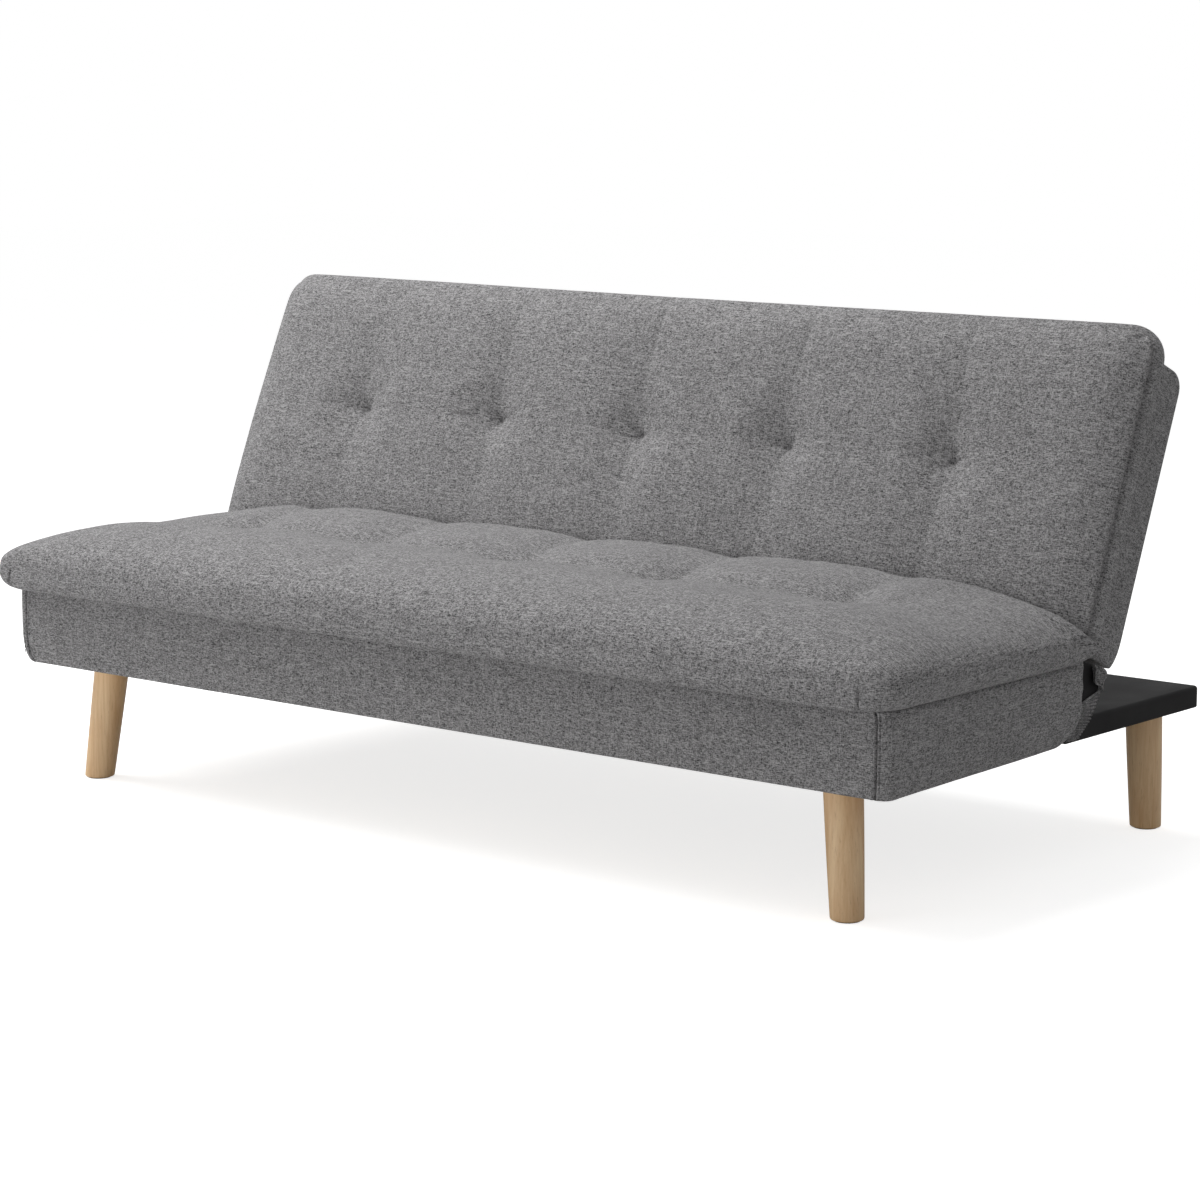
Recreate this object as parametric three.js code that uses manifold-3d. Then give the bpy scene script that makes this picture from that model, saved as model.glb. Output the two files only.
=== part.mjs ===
// Click clack sofa bed: a three-seat sofa whose whole backrest leans forward a little to free two
// ratchet hinges, then lies back level with the seat to make a bed.
// Millimetres. X runs along the sofa, Y to the rear, Z up. The origin is on the floor, under the
// middle of the sofa's bounding box. The model is first laid out with Y = 0 at the front of the
// seat box, and is moved to its origin at the end.

import * as THREE from 'three';
import { mergeVertices } from 'three/addons/utils/BufferGeometryUtils.js';
import Module from 'manifold-3d';

const wasm = await Module();
wasm.setup();

// Driving sizes of the whole sofa
const boxLength = 1766; // at the widest line of its sides
const seatOverhang = 23; // of the seat cushion past each end of the box
const backInset = 18.5; // of the back's frame from the same line
const backCushionOverhang = 8;
const baseDepth = 875;
const legHeight = 196;
const boxHeight = 125;
const baseThickness = 35;
const fit = 0.3; // clearance between pieces that rest on each other
const boltFit = 0.15; // radial clearance of a shank in its hole
const overrun = 10; // how far a cutting shape passes the faces that it cuts

// Base: timber frame under the whole sofa, its rear half in black cloth
const clothThickness = 3;
const railWidth = 60;
const frontRailDepth = 112;
const baseCornerRadius = 14;
const baseEdgeRadius = 3;

// Legs
const legTopRadius = 29;
const legFootRadius = 24.5;
const legFootRound = 1.5;
const legPlateThickness = 3;
const legPlateRadius = 25;
const legStudRadius = 5;
const legStudLength = 40;
const glideHeight = 1.5;
const glideRadius = 19;
const frontLegInset = { x: 136, y: 85 }; // from the box's end and front
const rearLegInset = { x: 80, y: 31 }; // from the base's end and rear
const frontLegSplay = { x: 21, y: -16 };
const rearLegSplay = { x: 5, y: 6 };

// Seat box: grey cloth over wadding round a timber frame
const boxWall = 6;
const boxSideWall = 34; // padded sides, down to the side rails
const boxSideTuck = 24; // how far the sides curve in at their lower edge
const boxCornerRadius = 16;
const boxEdgeRound = 1;
const boxSideDepth = 536;
const seatBoardThickness = 20;
const seatRailDrop = 95; // from the box's top to the rails' lower edge
const seatFrameDepth = 505;
const seatRearRailY = 455;
const seatRearRailDrop = 81;
const seatCrossShare = 0.15572; // place of the cross rails, as a share of the box's length
const slatThickness = 9;
const slatWidth = 70;
const slatSetback = 3;
const seatSlatCount = 5;
const deckThickness = 2.2;

// Seat cushion
const seatCushionFront = 38; // overhang past the box's front
const seatCushionFootSetback = 4;
const seatCushionRear = 486;
const seatCushionRearFoot = 474;
const seatCushionEdge = 66; // height of the top's rim over the cushion's foot
const seatCushionCrown = 48;
const seatCushionRim = 12; // how far the rim draws in from the widest line
const seatSideShares = [[1, 1], [0.78, 0.3], [0.5, 0], [0.2, 0.9]]; // [height, draw-in] down the side
const seatCushionCorner = 46;
const seatTuftY = 255;
const seatTuftDepth = 30;
const seatValleyDepth = 10;
const seatCreaseDepth = 12;
const tuftPitchShare = 0.17271; // of the box's length
const tuftCount = 5;
const tuftRadius = 26;
const valleyRadius = 34;
const edgeRoll = 95; // width over which the crown rises from the rim
const endRoll = 300; // the same at the seat's ends, which slope more

// Backrest: leans on its hinge axis, which lies across the sofa inside the rear of the seat box
const hingeY = 560;
const hingeRise = 14; // of the axis over the seat box
const backLean = 22.85; // degrees from upright
const backFrameFront = 34.7; // from the hinge axis forward to the frame's front
const backFrameRear = 70;
const backFrameTop = 444;
const backFrameFoot = 20;
const backFootRise = 48; // height over which the rear of the foot curves in
const backFootTuck = 14;
const backTopRadius = 28;
const backEdgeRadius = 8;
const backClothThickness = 5;
const backBoardThickness = 24;
const backStileStart = 36;
const backBottomRailStart = 60;
const backFrameSetback = 8; // timbers clear of the padded rear
const backMidShare = 0.16421; // place of the middle stiles, as a share of the box's length
const backSlatCount = 3;
const backSlatStart = 120;
const backSlatPitch = 120;

// Back cushion
const backCushionBand = 33;
const backCushionTop = 476;
const backCushionFoot = 5;
const backCushionBelly = 17;
const backCushionInset = 5;
const backCushionCrown = 30;
const backCushionCorner = 38;
const backTuftDrop = 220; // from the cushion's top down to the tufts
const backTuftDepth = 26;
const backValleyDepth = 12;
const backCreaseDepth = 5;
const footRoll = 190;

// Hinge, on the right; the left one is its mirror image
const plateThickness = 3.2;
const plateGap = 0.4;
const hingePlateInset = 57.2; // from the box's end to the inner face of the back bracket
const bossRadius = 16;
const armTop = 33; // below the hinge axis
const armHeight = 60;
const armStart = 165; // from the hinge axis forward to the bracket's front end
const armNeck = 62;
const pivotBoltRadius = 6;
const pivotHeadRadius = 10;
const pivotHeadThickness = 6;
const pivotEnd = 9;
const nutThickness = 7;
const screwHeadRadius = 7;
const screwHeadHeight = 2.4;
const strapHalfWidth = 16;
const strapLength = 175;
const strapScrewStart = 105;
const strapScrewPitch = 48;
const ratchetRadius = 30;
const notchDepth = 4;
const ratchetHubRadius = 20;
const pawlPinReach = 43; // from the hinge axis to the pawl's pin
const pawlPinRadius = 4;
const pawlHubRadius = 8;
const pawlArmInner = 36.8;
const pawlArmOuter = 43.8;
const pawlLift = 0.4;
const pinHeadRadius = 7;
const pinHeadThickness = 2.5;
const springWireRadius = 0.6;
const springCoilRadius = 5.4;
const springTail = 15;
const springTurns = 3;

// Angles of the ratchet, in degrees about the hinge axis from the rear, positive upward
const noseAngle = -155;
const noseHalfAngle = 5.7;
const pinAngle = -113;
const notchHalfAngle = 8;
const foldAngle = 67.15; // from the sofa's position down to the bed's
const releaseAngle = 5; // forward travel that frees the hinge
const ratchetMargin = 7;

// Gathered hem behind each side of the box, outboard of the backrest
const hemThickness = 1.6;
const hemWave = 3.2;
const hemFolds = 4;
const hemTopInset = 11; // from the box's end
const hemFootInset = 17;
const hemFootShare = 0.072; // its ends, as shares of the box's height
const hemTopShare = 0.968;
const hemFlare = 46; // how far it stands out behind the box
const hemFlareShares = [[0, 0.1], [0.2, 1], [0.44, 0.7], [0.68, 0.35], [0.93, 0.1], [1, 0.06]];

const deg = THREE.MathUtils.degToRad;
const boxHalf = boxLength / 2;
const baseHalf = boxHalf - boxSideTuck;
const backHalf = boxHalf - backInset;
const hingePlateX = boxHalf - hingePlateInset;
const frontLegTop = { x: boxHalf - frontLegInset.x, y: frontLegInset.y };
const rearLegTop = { x: baseHalf - rearLegInset.x, y: baseDepth - rearLegInset.y };
const tuftPitch = boxLength * tuftPitchShare;
const seatCrossX = boxLength * seatCrossShare;
const backMidX = boxLength * backMidShare;
const boxTop = legHeight + boxHeight;
const hingeZ = boxTop + hingeRise;
const baseTop = legHeight + baseThickness;
const baseRailFoot = legHeight + clothThickness + fit;
const baseRailTop = baseTop - clothThickness - fit;
const deckTop = boxTop - fit;
const slatTop = deckTop - deckThickness - fit;
const seatRailTop = slatTop - slatThickness - fit;
const seatRailX = hingePlateX - plateGap + fit; // inner face of the seat's side rails
const seatPlateX = hingePlateX - plateGap - plateThickness; // inner face of the seat's brackets

const cloth = new THREE.MeshStandardMaterial({ name: 'grey_cloth', color: 0x8a8a8c, roughness: 0.95 });
const blackCloth = new THREE.MeshStandardMaterial({ name: 'black_cloth', color: 0x232022, roughness: 0.9 });
const legWood = new THREE.MeshStandardMaterial({ name: 'leg_wood', color: 0xd9b483, roughness: 0.5 });
const timber = new THREE.MeshStandardMaterial({ name: 'timber', color: 0xcdb58e, roughness: 0.8 });
const steel = new THREE.MeshStandardMaterial({ name: 'steel', color: 0x2c2d30, roughness: 0.4, metalness: 0.8 });
const zinc = new THREE.MeshStandardMaterial({ name: 'zinc', color: 0xb4b6b8, roughness: 0.35, metalness: 0.9 });
const feltBlack = new THREE.MeshStandardMaterial({ name: 'glide', color: 0x1b1b1c, roughness: 0.7 });

const sofa = new THREE.Group();
const backrest = new THREE.Group();
backrest.position.set(0, hingeY, hingeZ);
backrest.rotation.x = -deg(backLean);
sofa.add(backrest);

// Adds a named mesh to a group
function addPiece(group, name, geometry, material) {
  const mesh = new THREE.Mesh(geometry, material);
  mesh.name = name;
  group.add(mesh);
  return mesh;
}

// A board between two opposite corners
function addBoard(group, name, material, low, high) {
  const size = high.map((value, i) => value - low[i]);
  const mesh = addPiece(group, name, new THREE.BoxGeometry(...size), material);
  mesh.position.set(...high.map((value, i) => (value + low[i]) / 2));
  return mesh;
}

// Turns a closed geometry into a solid that can be cut or joined
function solidOf(geometry) {
  const bare = geometry.index ? geometry.clone() : mergeVertices(geometry.clone().deleteAttribute('uv')
    .deleteAttribute('normal'));
  bare.deleteAttribute('uv');
  bare.deleteAttribute('normal');
  const merged = mergeVertices(bare, fit / 1000);
  const mesh = new wasm.Mesh({
    numProp: 3,
    vertProperties: new Float32Array(merged.attributes.position.array),
    triVerts: new Uint32Array(merged.index.array),
  });
  return new wasm.Manifold(mesh);
}

function geometryOf(solid) {
  const mesh = solid.getMesh();
  const geometry = new THREE.BufferGeometry();
  geometry.setAttribute('position', new THREE.BufferAttribute(mesh.vertProperties, 3));
  geometry.setIndex(new THREE.BufferAttribute(mesh.triVerts, 1));
  geometry.computeVertexNormals();
  return geometry;
}

function cutFrom(body, ...tools) {
  return geometryOf(tools.reduce((solid, tool) => solid.subtract(solidOf(tool)), solidOf(body)));
}

function joined(...bodies) {
  return geometryOf(bodies.slice(1).reduce((solid, body) => solid.add(solidOf(body)), solidOf(bodies[0])));
}

// Extrudes an outline drawn in the YZ plane along X, from x to x + thickness
function sidePlate(shape, x, thickness, curveSegments = 8) {
  const geometry = new THREE.ExtrudeGeometry(shape, { depth: thickness, bevelEnabled: false, curveSegments });
  const turn = new THREE.Matrix4().makeBasis(
    new THREE.Vector3(0, 1, 0), new THREE.Vector3(0, 0, 1), new THREE.Vector3(1, 0, 0));
  return geometry.applyMatrix4(turn).translate(x, 0, 0);
}

// A revolved piece whose axis lies along X; profile points are [radius, x]
function turned(profile, segments = 16) {
  const points = profile.map(([radius, x]) => new THREE.Vector2(radius, x));
  return new THREE.LatheGeometry(points, segments).rotateZ(-Math.PI / 2);
}

// The mirror image of a geometry in the plane X = 0, with its faces turned to point out again
function mirrored(geometry) {
  const copy = geometry.clone().applyMatrix4(new THREE.Matrix4().makeScale(-1, 1, 1));
  const index = copy.index ? Array.from(copy.index.array)
    : Array.from({ length: copy.attributes.position.count }, (_, i) => i);
  for (let i = 0; i < index.length; i += 3) {
    [index[i + 1], index[i + 2]] = [index[i + 2], index[i + 1]];
  }
  copy.setIndex(index);
  return copy;
}

// Adds a piece on the right and its mirror image on the left
function addPair(group, name, geometry, material) {
  addPiece(group, `${name}_right`, geometry, material);
  addPiece(group, `${name}_left`, mirrored(geometry), material);
}

// Builds a closed BufferGeometry from points and triangles
function meshFrom(points, triangles) {
  const geometry = new THREE.BufferGeometry();
  geometry.setAttribute('position', new THREE.Float32BufferAttribute(points.flat(), 3));
  geometry.setIndex(triangles.flat());
  geometry.computeVertexNormals();
  return geometry;
}

// A value at a place along a table of [place, value] shares
function shareAt(table, place) {
  const i = Math.max(1, table.findIndex(([at]) => at >= place));
  const [[from, low], [to, high]] = [table[i - 1], table[i]];
  return THREE.MathUtils.lerp(low, high, (place - from) / (to - from));
}

const smooth = (t) => THREE.MathUtils.smoothstep(t, 0, 1);
const bell = (distance, radius) => Math.exp(-(distance * distance) / (2 * radius * radius));
const roll = (t) => Math.sqrt(1 - (1 - Math.min(1, t)) ** 2);

// Base frame, and the black cloth over its rear half
function addBase() {
  const innerHalf = boxHalf - boxSideWall - fit;
  const rearFace = baseDepth - clothThickness - fit;
  const rearRailY = rearFace - railWidth;
  const sideX = [innerHalf - railWidth, innerHalf];
  const frontRailEnd = boxWall + fit + frontRailDepth;
  addBoard(sofa, 'base_front_rail', timber, [-innerHalf, boxWall + fit, baseRailFoot],
    [innerHalf, frontRailEnd, baseRailTop]);
  const rearHalf = baseHalf - baseCornerRadius;
  addBoard(sofa, 'base_rear_rail', timber, [-rearHalf, rearRailY, baseRailFoot],
    [rearHalf, rearFace, baseRailTop]);
  addBoard(sofa, 'base_right_rail', timber, [sideX[0], frontRailEnd + fit, baseRailFoot],
    [sideX[1], rearRailY - fit, baseRailTop]);
  addBoard(sofa, 'base_left_rail', timber, [-sideX[1], frontRailEnd + fit, baseRailFoot],
    [-sideX[0], rearRailY - fit, baseRailTop]);
  addBoard(sofa, 'base_centre_rail', timber, [-railWidth / 2, frontRailEnd + fit, baseRailFoot],
    [railWidth / 2, rearRailY - fit, baseRailTop]);

  const start = boxSideDepth + fit;
  const plan = (half, front, rear, radius) => {
    const shape = new THREE.Shape();
    shape.moveTo(-half, front);
    shape.lineTo(half, front);
    shape.lineTo(half, rear - radius);
    shape.absarc(half - radius, rear - radius, radius, 0, Math.PI / 2);
    shape.absarc(-half + radius, rear - radius, radius, Math.PI / 2, Math.PI);
    shape.closePath();
    return shape;
  };
  const r = baseEdgeRadius;
  const outer = new THREE.ExtrudeGeometry(
    plan(baseHalf - r, start + r, baseDepth - r, baseCornerRadius - r),
    { depth: baseThickness - 2 * r, bevelSize: r, bevelThickness: r, bevelSegments: 3, curveSegments: 4 },
  ).translate(0, 0, legHeight + r);
  const c = clothThickness;
  const cavity = new THREE.ExtrudeGeometry(
    plan(baseHalf - c, start - overrun, baseDepth - c, baseCornerRadius - c),
    { depth: baseThickness - 2 * c, bevelEnabled: false, curveSegments: 4 },
  ).translate(0, 0, legHeight + c);
  addPiece(sofa, 'base_cover', cutFrom(outer, cavity), blackCloth);
}

// A turned leg that leans by the splay between its top and its foot, with level ends
function addLeg(name, top, splay, underside) {
  const shear = new THREE.Matrix4().makeShear(0, 0, 0, 0, -splay.x / legHeight, -splay.y / legHeight);
  const place = (geometry) => geometry.applyMatrix4(shear)
    .translate(top.x + splay.x, top.y + splay.y, 0);
  const lathe = (profile) => place(new THREE.LatheGeometry(
    profile.map(([radius, z]) => new THREE.Vector2(radius, z)), 24).rotateX(Math.PI / 2));
  const plateTop = underside - fit / 3;
  const legTop = plateTop - legPlateThickness - fit / 3;
  const legFoot = glideHeight + fit / 3;
  const boreRadius = legStudRadius + fit;
  const stud = legTop - legStudLength;
  addPiece(sofa, `leg_${name}`, lathe([
    [0, legFoot], [legFootRadius - legFootRound, legFoot], [legFootRadius, legFoot + legFootRound],
    [legTopRadius, legTop], [boreRadius, legTop], [boreRadius, stud - fit], [0, stud - fit],
  ]), legWood);
  addPiece(sofa, `leg_plate_${name}`, lathe([
    [0, stud], [legStudRadius, stud], [legStudRadius, plateTop - legPlateThickness],
    [legPlateRadius, plateTop - legPlateThickness], [legPlateRadius, plateTop], [0, plateTop],
  ]), steel);
  addPiece(sofa, `glide_${name}`, lathe([
    [0, 0], [glideRadius, 0], [glideRadius, glideHeight], [0, glideHeight],
  ]), feltBlack);
}

// The rear edge of the box's side panel: how far back it reaches at a height in the box, as shares
const sideRearShares = [[0, 0.961], [0.15, 0.979], [0.5, 0.996], [0.74, 1], [0.95, 0.978], [1, 0.951]];

function boxRearAt(z) {
  return boxSideDepth * shareAt(sideRearShares, THREE.MathUtils.clamp((z - legHeight) / boxHeight, 0, 1));
}

// Padded cloth round the box's front and sides, open below, above and behind
function addBoxCover() {
  const tuckShares = [[1, 0.38], [0.95, 0.18], [0.74, 0], [0.5, 0], [0.3, 0.1], [0.15, 0.45], [0.07, 0.75],
    [0, 1]];
  const levels = tuckShares.map(([height, tuck], i) => ({
    z: legHeight + height * boxHeight,
    half: boxHalf - tuck * boxSideTuck,
    front: i === 0 || i === tuckShares.length - 1 ? boxEdgeRound : 0,
    radius: boxCornerRadius,
  }));
  for (const [height] of sideRearShares) {
    const z = legHeight + height * boxHeight;
    levels.push({ z, half: boxHalf - boxSideWall, front: boxWall, radius: boxEdgeRound });
  }
  const sideSteps = 6;
  const cornerSteps = 4;
  const frontSteps = 12;
  const path = ({ z, half, front, radius }) => {
    const points = [];
    const rear = boxRearAt(z);
    for (let i = 0; i < sideSteps; i += 1) {
      points.push([half, THREE.MathUtils.lerp(rear, front + radius, i / sideSteps), z]);
    }
    for (let i = 0; i <= cornerSteps; i += 1) {
      const angle = (i / cornerSteps) * Math.PI / 2;
      points.push([half - radius + radius * Math.cos(angle), front + radius - radius * Math.sin(angle), z]);
    }
    for (let i = 1; i < frontSteps / 2; i += 1) {
      points.push([(half - radius) * (1 - 2 * i / frontSteps), front, z]);
    }
    const left = points.map(([x, y, height]) => [-x, y, height]).reverse();
    return [...points, [0, front, z], ...left];
  };
  const loops = levels.map(path);
  const stations = loops[0].length;
  const points = loops.flat();
  const at = (level, station) => (level % loops.length) * stations + station;
  const triangles = [];
  for (let j = 0; j < loops.length; j += 1) {
    for (let i = 0; i < stations - 1; i += 1) {
      triangles.push([at(j, i), at(j, i + 1), at(j + 1, i + 1)], [at(j, i), at(j + 1, i + 1), at(j + 1, i)]);
    }
  }
  const outerCount = tuckShares.length;
  for (const [station, flip] of [[0, false], [stations - 1, true]]) {
    const ring = loops.map((_, j) => at(j, station));
    // The wall's end is split into triangles between its outer and inner lines
    const outer = ring.slice(0, outerCount);
    const inner = ring.slice(outerCount).reverse();
    const cap = [];
    let o = 0;
    let n = 0;
    while (o < outer.length - 1 || n < inner.length - 1) {
      const nextOuter = o < outer.length - 1 ? levels[o + 1].z : -Infinity;
      const nextInner = n < inner.length - 1 ? levels[loops.length - 2 - n].z : -Infinity;
      if (nextOuter >= nextInner) {
        cap.push([outer[o], outer[o + 1], inner[n]]);
        o += 1;
      } else {
        cap.push([outer[o], inner[n + 1], inner[n]]);
        n += 1;
      }
    }
    triangles.push(...cap.map(([a, b, c]) => (flip ? [a, c, b] : [a, b, c])));
  }
  const winding = triangles.map(([a, b, c]) => [a, c, b]);
  addPiece(sofa, 'seat_box_cover', outward(meshFrom(points, winding)), cloth);
}

// Turns a closed mesh's faces to point out
function outward(geometry) {
  const p = geometry.attributes.position;
  const index = geometry.index.array;
  const [a, b, c] = [new THREE.Vector3(), new THREE.Vector3(), new THREE.Vector3()];
  let volume = 0;
  for (let i = 0; i < index.length; i += 3) {
    a.fromBufferAttribute(p, index[i]);
    b.fromBufferAttribute(p, index[i + 1]);
    c.fromBufferAttribute(p, index[i + 2]);
    volume += a.dot(b.cross(c));
  }
  if (volume < 0) {
    for (let i = 0; i < index.length; i += 3) {
      [index[i + 1], index[i + 2]] = [index[i + 2], index[i + 1]];
    }
  }
  geometry.computeVertexNormals();
  return geometry;
}

// Timber frame, slats and deck cloth inside the seat box
function addSeatFrame() {
  const foot = baseRailTop + fit;
  const rearFoot = boxTop - seatRearRailDrop;
  const railOuter = seatRailX + seatBoardThickness;
  const front = [boxWall + fit, boxWall + fit + seatBoardThickness];
  addBoard(sofa, 'seat_front_rail', timber, [-railOuter, front[0], foot], [railOuter, front[1], seatRailTop]);
  addBoard(sofa, 'seat_right_rail', timber, [seatRailX, front[1] + fit, foot],
    [railOuter, seatFrameDepth, seatRailTop]);
  addBoard(sofa, 'seat_left_rail', timber, [-railOuter, front[1] + fit, foot],
    [-seatRailX, seatFrameDepth, seatRailTop]);
  const rearHalf = seatPlateX - fit;
  addBoard(sofa, 'seat_rear_rail', timber, [-rearHalf, seatRearRailY, rearFoot],
    [rearHalf, seatRearRailY + seatBoardThickness, seatRailTop]);
  for (const [name, side] of [['right', 1], ['left', -1]]) {
    addBoard(sofa, `seat_cross_rail_${name}`, timber,
      [side * seatCrossX - seatBoardThickness / 2, front[1] + fit, foot],
      [side * seatCrossX + seatBoardThickness / 2, seatRearRailY - fit, seatRailTop]);
  }
  const reach = railOuter - slatWidth / 2;
  for (let i = 0; i < seatSlatCount; i += 1) {
    const x = THREE.MathUtils.lerp(-reach, reach, i / (seatSlatCount - 1));
    addBoard(sofa, `seat_slat_${i + 1}`, timber, [x - slatWidth / 2, front[0] + slatSetback, seatRailTop + fit],
      [x + slatWidth / 2, seatRearRailY + seatBoardThickness - slatSetback, slatTop]);
  }
  addBoard(sofa, 'seat_deck', blackCloth, [-railOuter, front[0], deckTop - deckThickness],
    [railOuter, seatRearRailY + seatBoardThickness, deckTop]);
}

// Places between stops, closer together near each stop
function clustered(stops, steps) {
  const places = [stops[0]];
  for (let k = 1; k < stops.length; k += 1) {
    for (let i = 1; i <= steps; i += 1) {
      const t = (1 - Math.cos(Math.PI * i / steps)) / 2;
      places.push(THREE.MathUtils.lerp(stops[k - 1], stops[k], t));
    }
  }
  return places;
}

// A point of the unit square, moved onto a rectangle with round corners
function onFootprint(u, v, { half, near, far, radius }) {
  const centre = (near + far) / 2;
  const depth = (far - near) / 2;
  let x = Math.abs(u) * half;
  let y = Math.abs(v) * depth;
  const dx = x - (half - radius);
  const dy = y - (depth - radius);
  if (dx > 0 && dy > 0) {
    const pull = Math.max(dx, dy) / Math.hypot(dx, dy);
    x = half - radius + dx * pull;
    y = depth - radius + dy * pull;
  }
  return [Math.sign(u) * x, centre + Math.sign(v) * y];
}

// A tufted cushion: a crowned top on a rounded footprint, sides through the given rings and a flat foot.
// The rings run from the top's rim down to the foot, each a footprint with its height.
function tuftedCushion({ rings, tufts, tuftY, crown, depth, valley, crease, endWidth, footWidth }) {
  const rim = rings[0];
  const middle = (rim.near + rim.far) / 2;
  const halfDepth = (rim.far - rim.near) / 2;
  const us = clustered([-1, ...tufts.map((x) => x / rim.half), 1], 8);
  const vs = clustered([-1, (tuftY - middle) / halfDepth, 1], 7);
  const rise = (x, y) => {
    const side = roll((rim.half - Math.abs(x)) / endWidth);
    const far = roll((rim.far - y) / edgeRoll);
    const nearDistance = y - rim.near;
    const near = footWidth ? smooth(nearDistance / footWidth) : roll(nearDistance / edgeRoll);
    const full = side * far * near;
    const sink = tufts.reduce((sum, tuft) => sum
      + depth * bell(Math.hypot(x - tuft, y - tuftY), tuftRadius)
      + valley * bell(x - tuft, valleyRadius), 0) + crease * bell(y - tuftY, valleyRadius);
    return rim.z + full * Math.max(0, crown - sink);
  };
  const points = [];
  for (const v of vs) {
    for (const u of us) {
      const [x, y] = onFootprint(u, v, rim);
      points.push([x, y, rise(x, y)]);
    }
  }
  const columns = us.length;
  const rows = vs.length;
  const triangles = [];
  for (let j = 0; j < rows - 1; j += 1) {
    for (let i = 0; i < columns - 1; i += 1) {
      const a = j * columns + i;
      triangles.push([a, a + 1, a + columns + 1], [a, a + columns + 1, a + columns]);
    }
  }
  const edge = [];
  for (let i = 0; i < columns - 1; i += 1) edge.push([i, us[i], -1]);
  for (let j = 0; j < rows - 1; j += 1) edge.push([j * columns + columns - 1, 1, vs[j]]);
  for (let i = columns - 1; i > 0; i -= 1) edge.push([(rows - 1) * columns + i, us[i], 1]);
  for (let j = rows - 1; j > 0; j -= 1) edge.push([j * columns, -1, vs[j]]);
  let previous = edge.map(([index]) => index);
  for (const ring of rings.slice(1)) {
    const current = edge.map(([, u, v]) => {
      const [x, y] = onFootprint(u, v, ring);
      return points.push([x, y, ring.z]) - 1;
    });
    for (let i = 0; i < edge.length; i += 1) {
      const next = (i + 1) % edge.length;
      triangles.push([previous[i], current[i], current[next]], [previous[i], current[next], previous[next]]);
    }
    previous = current;
  }
  const foot = rings[rings.length - 1];
  const centre = points.push([0, (foot.near + foot.far) / 2, foot.z]) - 1;
  for (let i = 0; i < edge.length; i += 1) {
    triangles.push([previous[i], centre, previous[(i + 1) % edge.length]]);
  }
  return outward(meshFrom(points, triangles));
}

const tuftPlaces = Array.from({ length: tuftCount }, (_, i) => (i - (tuftCount - 1) / 2) * tuftPitch);

function addSeatCushion() {
  const half = boxHalf + seatOverhang;
  const geometry = tuftedCushion({
    rings: [
      ...seatSideShares.map(([height, drawIn]) => ({
        half: half - drawIn * seatCushionRim,
        near: drawIn * seatCushionRim - seatCushionFront,
        far: THREE.MathUtils.lerp(seatCushionRearFoot, seatCushionRear, height),
        radius: seatCushionCorner,
        z: height * seatCushionEdge,
      })),
      { half: boxHalf - seatCushionFootSetback, near: seatCushionFootSetback, far: seatCushionRearFoot,
        radius: seatCushionCorner - seatCushionRim, z: 0 },
    ],
    tufts: tuftPlaces,
    tuftY: seatTuftY,
    crown: seatCushionCrown,
    depth: seatTuftDepth,
    valley: seatValleyDepth,
    crease: seatCreaseDepth,
    endWidth: endRoll,
    footWidth: 0,
  });
  addPiece(sofa, 'seat_cushion', geometry, cloth).position.z = boxTop + fit;
}

// Gathered cloth hem that closes the gap behind each side panel of the box
function addHems() {
  const columns = 5;
  // Rows meet every corner of the side panel's rear edge
  const stops = [hemTopShare, ...sideRearShares.map(([height]) => height)
    .filter((height) => height > hemFootShare && height < hemTopShare).reverse(), hemFootShare];
  const heights = [hemTopShare];
  for (let k = 1; k < stops.length; k += 1) {
    const steps = Math.ceil((stops[k - 1] - stops[k]) * 18);
    for (let i = 1; i <= steps; i += 1) {
      heights.push(THREE.MathUtils.lerp(stops[k - 1], stops[k], i / steps));
    }
  }
  const rows = heights.length - 1;
  const points = [];
  for (const side of [-1, 1]) {
    for (let j = 0; j <= rows; j += 1) {
      const b = (hemTopShare - heights[j]) / (hemTopShare - hemFootShare);
      const z = legHeight + heights[j] * boxHeight;
      const innerY = boxRearAt(z) + fit;
      const reach = hemFlare * shareAt(hemFlareShares, b);
      for (let i = 0; i <= columns; i += 1) {
        const a = i / columns;
        const wave = hemWave * (1 + a) / 2 * Math.sin(2 * Math.PI * hemFolds * b);
        const x = THREE.MathUtils.lerp(boxHalf - hemTopInset, boxHalf - hemFootInset, b) + wave;
        points.push([x + side * hemThickness / 2, innerY + reach * a, z]);
      }
    }
  }
  const sheet = (rows + 1) * (columns + 1);
  const triangles = [];
  const quad = (a, b, c, d) => triangles.push([a, b, c], [a, c, d]);
  const at = (j, i) => j * (columns + 1) + i;
  for (let j = 0; j < rows; j += 1) {
    for (let i = 0; i < columns; i += 1) {
      quad(at(j, i), at(j + 1, i), at(j + 1, i + 1), at(j, i + 1));
      quad(sheet + at(j, i), sheet + at(j, i + 1), sheet + at(j + 1, i + 1), sheet + at(j + 1, i));
    }
  }
  const rim = [];
  for (let i = 0; i < columns; i += 1) rim.push(at(0, i));
  for (let j = 0; j < rows; j += 1) rim.push(at(j, columns));
  for (let i = columns; i > 0; i -= 1) rim.push(at(rows, i));
  for (let j = rows; j > 0; j -= 1) rim.push(at(j, 0));
  for (let k = 0; k < rim.length; k += 1) {
    const next = rim[(k + 1) % rim.length];
    quad(rim[k], next, sheet + next, sheet + rim[k]);
  }
  addPair(sofa, 'hinge_hem', outward(meshFrom(points, triangles)), cloth);
}

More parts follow.
